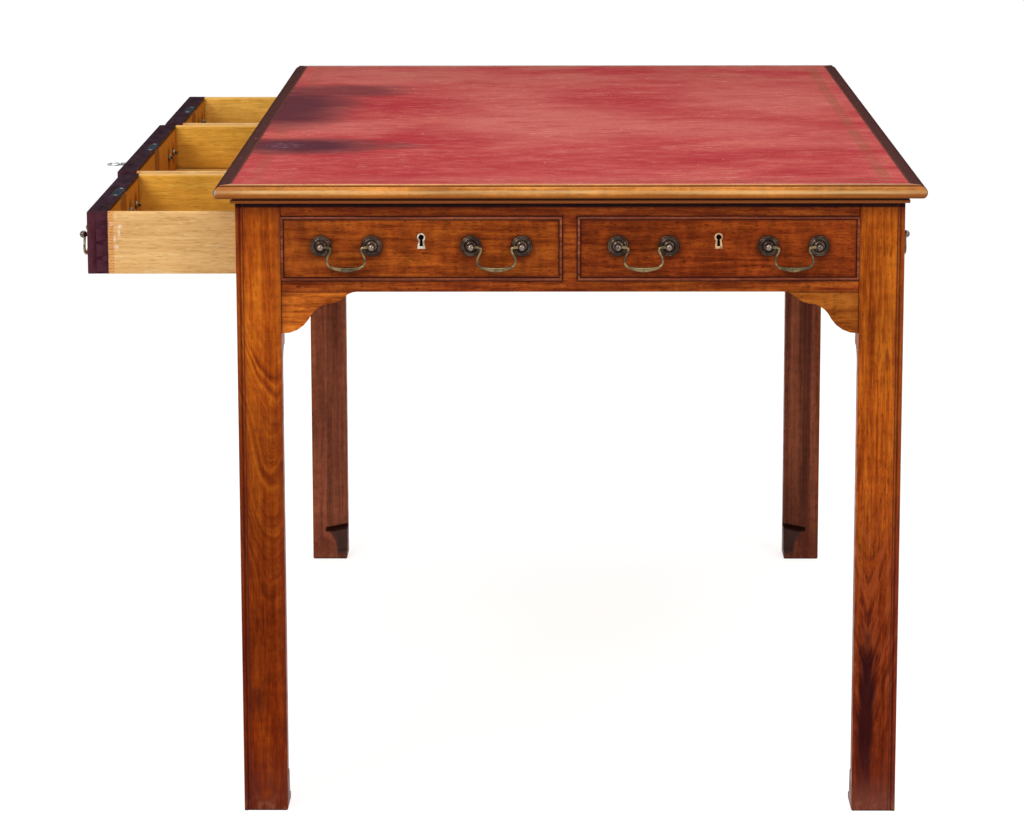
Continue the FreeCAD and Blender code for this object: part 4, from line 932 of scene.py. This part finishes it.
def curve_work(curve):
    """A bmesh of a curve's solid. The curve is used up."""
    holder = put(curve.name, curve)
    work = taken_up(evaluated_mesh(holder))
    bpy.data.objects.remove(holder)
    bpy.data.curves.remove(curve)
    bmesh.ops.remove_doubles(work, verts=work.verts, dist=0.001 * MM)
    return work


def arc(start, through, end, steps):
    """Points on the circle through three points, without the first."""
    (ax, ay), (bx, by), (cx, cy) = start, through, end
    a, b, c = ax * ax + ay * ay, bx * bx + by * by, cx * cx + cy * cy
    d = 2 * (ax * (by - cy) + bx * (cy - ay) + cx * (ay - by))
    ux = (a * (by - cy) + b * (cy - ay) + c * (ay - by)) / d
    uy = (a * (cx - bx) + b * (ax - cx) + c * (bx - ax)) / d
    first, mid, last = (math.atan2(y - uy, x - ux) for x, y in (start, through, end))
    sweep = math.remainder(mid - first, 2 * math.pi) + math.remainder(last - mid, 2 * math.pi)
    radius = math.hypot(ax - ux, ay - uy)
    angles = [first + sweep * n / steps for n in range(1, steps + 1)]
    return [(ux + radius * math.cos(angle), uy + radius * math.sin(angle)) for angle in angles]


# ---------------------------------------------------------------- Geometry Nodes: turned pieces at their places
def setting_out():
    """A node tree that sets one turned piece at every point, turned as the point says, and gives it its finish."""
    group = bpy.data.node_groups.new("set_turned_pieces", "GeometryNodeTree")
    for name, kind in (("Places", "Geometry"), ("Turned piece", "Object"), ("Size", "Float"), ("Seed", "Int"),
                       ("Finish", "Material")):
        group.interface.new_socket(name, in_out="INPUT", socket_type="NodeSocket" + kind)
    group.interface.new_socket("Pieces", in_out="OUTPUT", socket_type="NodeSocketGeometry")
    tree = Tree(group)

    def given(name):
        return tree.node("NodeGroupInput", output=name)

    piece = tree.node("GeometryNodeObjectInfo", None, {"Object": given("Turned piece")}, "Geometry")
    facing = tree.node("GeometryNodeInputNamedAttribute", {"data_type": "FLOAT_VECTOR"}, {"Name": "facing"},
                       "Attribute")
    facing_turn = tree.node("FunctionNodeEulerToRotation", None, {0: facing})
    chance = tree.node("FunctionNodeRandomValue", {"data_type": "FLOAT"}, {3: 2 * math.pi, "Seed": given("Seed")}, 1)
    spin = tree.node("FunctionNodeAxisAngleToRotation", None, {"Axis": (0, 0, 1), "Angle": chance})
    both = tree.node("FunctionNodeRotateRotation", {"rotation_space": "LOCAL"}, {0: facing_turn, 1: spin})
    instances = tree.node("GeometryNodeInstanceOnPoints", None,
                          {"Points": given("Places"), "Instance": piece, "Rotation": both, "Scale": given("Size")})
    real = tree.node("GeometryNodeRealizeInstances", None, {0: instances})
    dressed = tree.node("GeometryNodeSetMaterial", None, {"Geometry": real, "Material": given("Finish")})
    tree.node("NodeGroupOutput", None, {"Pieces": dressed})
    return group


SETTING_OUT = setting_out()


def set_out(name, master, places, finish, seed):
    """A plain mesh of the master piece at every (point, euler)."""
    mesh = bpy.data.meshes.new(name)
    mesh.from_pydata([tuple(point) for point, _ in places], [], [])
    facing = mesh.attributes.new("facing", "FLOAT_VECTOR", "POINT")
    facing.data.foreach_set("vector", [angle for _, turn in places for angle in turn])
    holder = put(name, mesh)
    modifier = holder.modifiers.new("setting out", "NODES")
    modifier.node_group = SETTING_OUT
    values = {"Turned piece": master, "Size": 1.0, "Seed": seed, "Finish": FINISH[finish]}
    for item in SETTING_OUT.interface.items_tree:
        if item.name in values and item.in_out == "INPUT":
            modifier[item.identifier] = values[item.name]
    plain = evaluated_mesh(holder)
    holder.modifiers.clear()
    holder.data = plain
    plain.name = name
    bpy.data.meshes.remove(mesh)
    return holder


# ---------------------------------------------------------------- brasses
def rosette_work():
    """A ringed backplate: flat rim, groove, ring, groove and a dome that carries the post."""
    return turned([(0, 0), (12.2, 0), (12.2, 0.9), (11.9, 1.3), (11.3, 1.5), (10.7, 1.35), (10.3, 1.05),
                   (9.9, 1.15), (9.5, 1.75), (8.9, 2.2), (8.2, 2.3), (7.6, 2.0), (7.25, 1.75), (6.9, 1.95),
                   (6.5, 2.8), (5.9, 3.5), (5.1, 4.05), (4.2, 4.35), (3.4, 4.4), (3.0, 4.1), (0, 4.1)])


def ball_post_work():
    """A ball on a collared neck."""
    ball_radius, steps, first, sweep = 4.6, 14, -62, 152
    ball = [(out, 12 + up) for out, up in on_circle(ball_radius, [first + sweep * n / steps for n in range(steps)])]
    neck = [(2.9, 4.2), (3.1, 4.7), (2.7, 5.2), (2.2, 5.7), (2.1, 6.6), (2.5, 7.2), (2.75, 7.6), (2.4, 7.9)]
    return turned([(0, 4.2), *neck, *ball, (0, 12 + ball_radius)], 32)


def shank_work():
    """The threaded end of a drawer's post, through the front to its nut."""
    pitch, turns = 0.55, 12
    thread = [(0, 0)]
    for n in range(turns):
        thread += [(1.95, -22.6 - n * pitch), (1.65, -22.85 - n * pitch)]
    nut = [(0, -22), (4.4, -22), (5.0, -22.4), (5.0, -24.3), (4.2, -25), (2.4, -25), (0, -25)]
    return joined([turned([*thread, (0, -29)], 20), turned(nut, 12)])


def screw_work():
    """A countersunk screw head with its slot: a disc, and a raised half on each side of the slot."""
    works = [turned([(0, -0.2), (2.3, -0.2), (2.3, 0.06), (2.1, 0.12), (0, 0.12)], 20)]
    for hand in (-1, 1):
        outline = [(x * MM, hand * y * MM) for x, y in on_circle(2, range(12, 169, 12))]
        low = [(x, y, 0.1 * MM) for x, y in outline]
        high = [(x * 0.9, y * 0.9 + hand * 0.05 * MM, 0.34 * MM) for x, y in outline]
        works.append(plate_work(low, high))
    return joined(works)


# half of a bail from its pin to beside its middle, in mm: (along, drop, radius of the bar)
BAIL_HALF = ((27.6, 0, 1.5), (24, 0, 1.9), (20.3, 0.2, 1.85), (17.9, 1.4, 1.75), (17.9, 4.6, 1.6),
             (19.9, 8.6, 1.5), (22, 12.8, 1.5), (22.8, 17, 1.55), (21.4, 21, 1.6), (18.2, 23.8, 1.7),
             (13.6, 25.1, 2), (8.6, 25.9, 2.6), (4, 26.4, 3.1))
BAIL_MIDDLE = (0, 26.5, 3.3)


def bail(node, side, middle, opened=0.0):
    """A swan-neck bail: slim arms, hips that swell out, and a grip that thickens to its middle."""
    steps = [(-along, drop, radius) for along, drop, radius in BAIL_HALF] + [BAIL_MIDDLE, *reversed(BAIL_HALF)]
    to_space = on_face(side, opened)
    name = node + "_swan_neck"
    curve = set_all(bpy.data.curves.new(name, "CURVE"), dimensions="3D", resolution_u=5, bevel_depth=MM,
                    bevel_resolution=5, use_fill_caps=True)
    spline = curve.splines.new("NURBS")
    spline.points.add(len(steps) - 1)
    for point, (along, drop, radius) in zip(spline.points, steps):
        set_all(point, co=(*to_space(middle + along * MM, BALL_OUT, PULL_HIGH - drop * MM), 1), radius=radius)
    set_all(spline, order_u=3, use_endpoint_u=True)
    work = curve_work(curve)
    bmesh.ops.recalc_face_normals(work, faces=work.faces)
    finished(piece_from(name, work, [FINISH["rubbed"]], 50), node, "brass", node)


def escutcheon_work(side, middle, opened=0.0):
    """A keyhole-shaped plate with rounded edges and its keyhole cut through."""
    curve = set_all(bpy.data.curves.new("escutcheon", "CURVE"), dimensions="2D", fill_mode="BOTH",
                    extrude=0.18 * MM, bevel_depth=0.14 * MM, bevel_resolution=2)
    # the plate and its keyhole, in mm: (head, half neck, half foot, foot below the middle, steps round the head)
    for head, neck_half, foot_half, foot, steps in ((4.9, 3.3, 4.7, 13.4, 28), (3.3, 1.5, 2.2, 10.8, 20)):
        gap = math.degrees(math.asin(neck_half / head))
        points = on_circle(head, [gap - 90 + (360 - 2 * gap) * n / steps for n in range(steps + 1)])
        points += [(-foot_half * 0.96, 0.5 - foot), (-foot_half, -foot), (foot_half, -foot),
                   (foot_half * 0.96, 0.5 - foot)]
        spline = curve.splines.new("POLY")
        spline.points.add(len(points) - 1)
        for point, (x, y) in zip(spline.points, points):
            point.co = (x * MM, y * MM, 0, 1)
        spline.use_cyclic_u = True
    work = curve_work(curve)
    to_space = on_face(side, opened)
    for vertex in work.verts:
        vertex.co = to_space(middle + vertex.co.x, vertex.co.z + 0.3 * MM, KEY_HIGH + vertex.co.y)
    bmesh.ops.recalc_face_normals(work, faces=work.faces)
    return work


def keyhole_dark_work(side, middle):
    """A thin dark leaf behind a dummy front's keyhole: painted shade seen through the hole."""
    shape = on_circle(3.5, range(-60, 241, 15)) + [(-2.4, -11), (2.4, -11)]
    to_space = on_face(side)
    return plate_work(*([to_space(middle + x * MM, out, KEY_HIGH + y * MM) for x, y in shape]
                        for out in (0.12 * MM, -0.05 * MM)))


def post_places(side, centre, width, opened=0.0):
    """Where the posts of a front's pulls stand, and the way they face."""
    to_space = on_face(side, opened)
    return [(to_space(centre + middle + hand * POST_SPACING / 2, 0, PULL_HIGH), out_turn(side))
            for middle in pull_middles(width) for hand in (-1, 1)]


rosette = piece_from("rosette", rosette_work(), sharp=60)
ball_post = piece_from("ball_post", ball_post_work(), sharp=45)
shank = piece_from("threaded_shank", shank_work(), sharp=45)
screw = piece_from("slotted_screw", screw_work())

DUMMIES = [(side, centre, width) for side, bays in DUMMY_BAYS.items() for centre, width in bays]
fixed_places = [place for dummy in DUMMIES for place in post_places(*dummy)]
finished(set_out("fixed_rosettes", rosette, fixed_places, "tarnished", 3), "frame", "brass", "fixed_backplates")
finished(set_out("fixed_ball_posts", ball_post, fixed_places, "burnished", 4), "frame", "brass",
         "fixed_pull_posts")
for side, bays in DUMMY_BAYS.items():
    middles = [centre + middle for centre, width in bays for middle in pull_middles(width)]
    for number, middle in enumerate(middles, 1):
        bail("bail_%s_%d" % (side, number), side, middle)
plates = joined(escutcheon_work(side, centre) for side, centre, _ in DUMMIES)
finished(piece_from("fixed_escutcheon_plates", plates, [FINISH["polished"]]), "frame", "brass",
         "fixed_escutcheons")
darks = joined(keyhole_dark_work(side, centre) for side, centre, _ in DUMMIES)
finished(piece_from("keyhole_shadows", darks, [FINISH["lock_dark"]]), "frame", "iron")


# ---------------------------------------------------------------- top
def top_edge():
    """The mitred moulding round the top: a flat beside the leather, a step, the nosing and a fillet below."""
    nose_top, nose_low = DESK_HEIGHT - 1.8 * MM, DESK_HEIGHT - 15.6 * MM
    nose_tip = (0.0, (nose_top + nose_low) / 2)
    brow = 5.9 * MM
    chin = brow * 0.55
    fillet, fillet_top = 18.4 * MM, nose_low - 3.8 * MM
    profile = [(20 * MM, TOP_UNDERSIDE), (20 * MM, DESK_HEIGHT - 0.3 * MM), (19.7 * MM, DESK_HEIGHT),
               (7.0 * MM, DESK_HEIGHT), (6.6 * MM, DESK_HEIGHT - 0.2 * MM), (6.4 * MM, DESK_HEIGHT - 0.6 * MM),
               (6.3 * MM, nose_top + 0.1 * MM), (brow, nose_top),
               *arc((brow, nose_top), (brow * 0.27, nose_top - 2.4 * MM), nose_tip, 8),
               *arc(nose_tip, (brow * 0.16, nose_low + 2.6 * MM), (chin, nose_low), 8),
               (19.4 * MM, nose_low), (19.4 * MM, fillet_top), (fillet + 0.4 * MM, fillet_top),
               (fillet, fillet_top - 0.4 * MM), (fillet, TOP_UNDERSIDE + 0.4 * MM),
               (fillet + 0.4 * MM, TOP_UNDERSIDE)]
    profile = [(max(inset, 0.0), rise) for inset, rise in profile]
    work = mitred_frame(profile, TOP_HALF_WIDE, TOP_HALF_LONG, lambda x, y, z: (x, y, z), (0, 1, 0, 1), True)
    edge = piece_from("top_edge_worn", work, [FINISH["edge_near"], FINISH["edge_side"]], 32)
    set_all(edge.modifiers.new("worn corners", "BEVEL"), limit_method="WEIGHT", width=2.6 * MM, segments=4)
    finished(edge, "frame", "mahogany", "top_edge_moulding")


top_edge()
eased("leather_skiver", 0.35 * MM, FINISH["leather"], "frame", "red_leather")

# ---------------------------------------------------------------- frame of the desk
for node, finish in (("leg_near_left", "leg_near_left"), ("leg_near_right", "leg_near_right"),
                     ("leg_far_left", "leg_far"), ("leg_far_right", "leg_far")):
    eased(node, 0.9 * MM, FINISH[finish], "frame", "mahogany", 3, 34)
eased("leg_brackets", 0.8 * MM, FINISH["bracket_near"], "frame", "mahogany", 2, 40, FINISH["bracket_side"],
      on_long_side)
for node, radius, finish in (("apron_near_end", 0.4 * MM, "rail_near"), ("apron_far_end", 0.4 * MM, "rail_near"),
                             ("apron_right_side", 0.4 * MM, "rail_side"),
                             ("rail_above_drawers", 0.5 * MM, "rail_side"),
                             ("rail_below_drawers", 0.5 * MM, "rail_side"),
                             ("drawer_dividers", 0.5 * MM, "stile")):
    eased(node, radius, FINISH[finish], "frame", "mahogany")
for node in ("top_board", "drawer_runners"):
    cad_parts[node].data.materials[0] = FINISH["oak_board"]


# ---------------------------------------------------------------- fronts, beads and drawers
def bead_work(side, centre, width, low=FRONT_LOW, high=FRONT_HIGH, opened=0.0):
    """Four mitred cockbeads with rounded noses round a front."""
    proud, swell, steps = 0.55 * MM, 1.25 * MM, 8
    nose = [(BEAD_WIDE * (0.5 - 0.5 * math.cos(math.pi * n / steps)),
             proud + swell * math.sin(math.pi * n / steps)) for n in range(steps + 1)]
    to_space = on_face(side, opened)
    middle = (low + high) / 2
    return mitred_frame([(0, FRONT_ROOT), *nose, (BEAD_WIDE, FRONT_ROOT)], width / 2, (high - low) / 2,
                        lambda along, up, out: to_space(centre + along, out, middle + up))


def panel_work(side, centre, width):
    """A dummy front inside its beads."""
    half = width / 2 - BEAD_WIDE
    to_space = on_face(side)
    return block(to_space(centre - half, FRONT_ROOT, FRONT_LOW + BEAD_WIDE),
                 to_space(centre + half, 0, FRONT_HIGH - BEAD_WIDE), 0.3 * MM)


beads = joined(bead_work(*dummy) for dummy in DUMMIES)
finished(piece_from("dummy_front_cockbeads", beads, [FINISH["bead"]]), "frame", "mahogany", "dummy_front_beads")
for name, finish, on_sides in (("end_dummy_fronts", "dummy_near", ("near", "far")),
                               ("side_dummy_fronts", "dummy_side", ("right",))):
    panels = joined(panel_work(*dummy) for dummy in DUMMIES if dummy[0] in on_sides)
    finished(piece_from(name, panels, [FINISH[finish]]), "frame", "mahogany", "dummy_fronts")


def drawer(name, centre, bay, opened):
    """All that is seen of one drawer: its front, sides and bottom, its beads, brasses and lock."""
    body = name + "_drawer"
    width = bay - DRAWER_SLACK
    along = -centre
    seed = 20 + 3 * centre
    front_wood = mahogany("mahogany_%s_drawer" % name, Y, seed, **FRONT, shine=0.004,
                          worked=drawer_front_wear_and_shade(centre, width, opened))
    bead_wood = mahogany("mahogany_%s_beads" % name, Y, seed + 2, **BEAD, shine=0.004,
                         worked=drawer_bead_wear(centre, width))
    golden = (1.22, 1.16, 0.55) if name == "far" else (1.14, 1.0, 0.36)
    side_wood = oak("oak_%s_sides" % name, X, seed + 1, worked=drawer_side_wear_and_shade(centre, width, opened, golden))
    black = FINISH["black_top"]
    eased(body + "_front", 0.35 * MM, front_wood, body, "mahogany", second=black, chosen=looks_up)
    eased(body + "_sides", 0.8 * MM, side_wood, body, "oak", 3)
    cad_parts[body + "_bottom"].data.materials[0] = FINISH["oak_bottom"]
    strips = picked_out(bead_work("left", along, width, DRAWER_LOW, DRAWER_HIGH, opened), looks_up)
    finished(piece_from(body + "_cockbeads", strips, [bead_wood, black]), body, "mahogany", body + "_beads")
    places = post_places("left", along, width, opened)
    for kind, master, finish, spin, slot in (("rosettes", rosette, "tarnished", 5, "brass"),
                                             ("ball_posts", ball_post, "burnished", 6, "brass"),
                                             ("threaded_shanks", shank, "thread", 8, "iron")):
        finished(set_out("%s_%s" % (body, kind), master, places, finish, spin), body, slot, body + "_brasses")
    plate = piece_from(body + "_escutcheon", escutcheon_work("left", along, opened), [FINISH["polished"]])
    finished(plate, body, "brass", body + "_brasses")
    for number, middle in enumerate(sorted(pull_middles(width), reverse=True), 1):
        bail("%s_bail_%d" % (body, number), "left", along + middle, opened)
    eased(body + "_lock", 0.25 * MM, FINISH["iron"], body, "iron")
    inner = -FACE_SIDE - opened + DRAWER_FRONT
    upward, backward = (0, 0, 0), (0, math.pi / 2, 0)
    plate_reach, plate_inset, case_reach, case_drops = 32 * MM, 6 * MM, 27 * MM, (8 * MM, 34 * MM)
    heads = [((inner - plate_inset, centre + hand * plate_reach, DRAWER_HIGH), upward) for hand in (-1, 1)]
    heads += [((inner, centre + hand * case_reach, DRAWER_HIGH - drop), backward)
              for hand in (-1, 1) for drop in case_drops]
    finished(set_out(body + "_lock_screws", screw, heads, "thread", 7), body, "iron")


for name, (centre, bay, opened) in DRAWERS.items():
    drawer(name, centre, bay, opened)
for master in (rosette, ball_post, shank, screw):
    bpy.data.objects.remove(master)


def key_work():
    """The key of the middle drawer: oval bow, collars, shaft and a notched bit."""
    face = -FACE_SIDE - DRAWERS["middle"][2]
    bow_middle, bow_deep, bow_wide = 36.5, 8.0, 8.2
    section = [(1.65 * a, 1.45 * b) for a, b in on_circle(1, range(0, 360, 30))]
    bow = bmesh.new()
    rings = [[bow.verts.new((face + ((bow_deep + out) * a - bow_middle) * MM, (bow_wide + out) * b * MM,
                             KEY_HIGH + up * MM)) for out, up in section] for a, b in on_circle(1, range(0, 360, 10))]
    skinned(bow, rings + rings[:1])
    shaft = turned([(0, -17), (1.7, -17), (2.1, -16.6), (2.1, 19), (2.5, 19.4), (3.2, 20.2), (3.3, 21.2),
                    (2.7, 22), (2.4, 22.4), (3, 23), (3.3, 24), (2.9, 25), (2.3, 25.6), (2.1, 27.4), (1.6, 28.2),
                    (0, 28.4)], 28)
    for vertex in shaft.verts:
        x, y, z = vertex.co
        vertex.co = (face - z, y, KEY_HIGH + x)
    bit = block((face + 13 * MM, -1 * MM, KEY_HIGH - 7 * MM), (face + 17 * MM, 1 * MM, KEY_HIGH - 1.6 * MM),
                0.25 * MM)
    work = joined([bow, shaft, bit])
    bmesh.ops.recalc_face_normals(work, faces=work.faces)
    return work


finished(piece_from("steel_drawer_key", key_work(), [FINISH["steel"]], 45), "key", "iron", "middle_key")
eased("middle_lock_bolt", 0.25 * MM, FINISH["iron"], "lock_bolt", "iron")


# ---------------------------------------------------------------- floor, light and camera
def seen_share(tree):
    """1 for what is seen straight, in a gloss or through glass, and 0 for what only lights the desk."""
    return least(sum(tree.node("ShaderNodeLightPath", output="Is %s Ray" % kind)
                     for kind in ("Camera", "Glossy", "Transmission")), 1)


def pale_floor():
    """A wide floor that looks white and still takes the desk's soft shadow."""
    material = bpy.data.materials.new("pale_floor")
    material.use_nodes = True
    tree = Tree(material.node_tree)
    cloth = tree.node("ShaderNodeBsdfDiffuse", None, {"Color": tone(238, 238, 238)})
    seen_cloth = tree.node("ShaderNodeBsdfDiffuse", None, {"Color": tone(190, 190, 190)})
    glow = tree.node("ShaderNodeEmission", None, {"Color": (1, 1, 1, 1), "Strength": 0.78})
    seen = tree.node("ShaderNodeAddShader", None, {0: seen_cloth, 1: glow})
    mixed = tree.node("ShaderNodeMixShader", None, {0: seen_share(tree), 1: cloth, 2: seen})
    tree.node("ShaderNodeOutputMaterial", None, {"Surface": mixed})
    return material


def studio():
    """The floor, a little below the feet, and a soft light from all round with white seen behind the desk."""
    bpy.ops.mesh.primitive_plane_add(size=120, location=(0, 20, -0.4 * MM))
    floor = bpy.context.object
    floor.name = "studio_floor"
    floor.data.materials.append(pale_floor())
    world = bpy.data.worlds.new("studio")
    bpy.context.scene.world = world
    world.use_nodes = True
    tree = Tree(world.node_tree)
    soft = tree.node("ShaderNodeBackground", None, {"Color": (1, 0.99, 0.97, 1), "Strength": 0.44})
    white = tree.node("ShaderNodeBackground", None, {"Color": (1, 1, 1, 1), "Strength": 1})
    mixed = tree.node("ShaderNodeMixShader", None, {0: seen_share(tree), 1: soft, 2: white})
    tree.node("ShaderNodeOutputWorld", None, {"Surface": mixed})


def softbox(name, position, target, size, power):
    """A rectangular soft lamp aimed at a point."""
    lamp = set_all(bpy.data.lights.new(name, "AREA"), shape="RECTANGLE", size=size[0], size_y=size[1],
                   energy=power)
    way = Vector(target) - Vector(position)
    set_all(put(name, lamp), location=position, rotation_euler=way.to_track_quat("-Z", "Y").to_euler())


def camera():
    """A long lens a little above the desk's top, looking down its length."""
    standing = (-0.0217, -5.0791, 1.3313)
    pitch, roll, yaw = 0.1915, 0.0021, 0.0107
    focal, image_width, sensor = 3757.5, 1024, 36
    lens = set_all(bpy.data.cameras.new("camera"), sensor_width=sensor, lens=focal / image_width * sensor,
                   clip_end=200)
    holder = put("camera", lens)
    stance = Matrix.Translation(standing)
    for angle, axis in ((yaw, "Z"), (math.pi / 2 - pitch, "X"), (-roll, "Z")):
        stance = stance @ Matrix.Rotation(angle, 4, axis)
    holder.matrix_world = stance
    bpy.context.scene.camera = holder


studio()
softbox("overhead", (0.2, -0.4, 3.1), (0, 0, 0.7), (2.6, 3.0), 46)
softbox("front_left", (-2.2, -3.6, 2.8), (0, -0.4, 0.55), (1.6, 1.6), 84)
softbox("front_right", (2.8, -3.2, 1.7), (0, -0.4, 0.45), (1.6, 1.6), 28)
camera()
bpy.context.scene.view_settings.view_transform = "Standard"
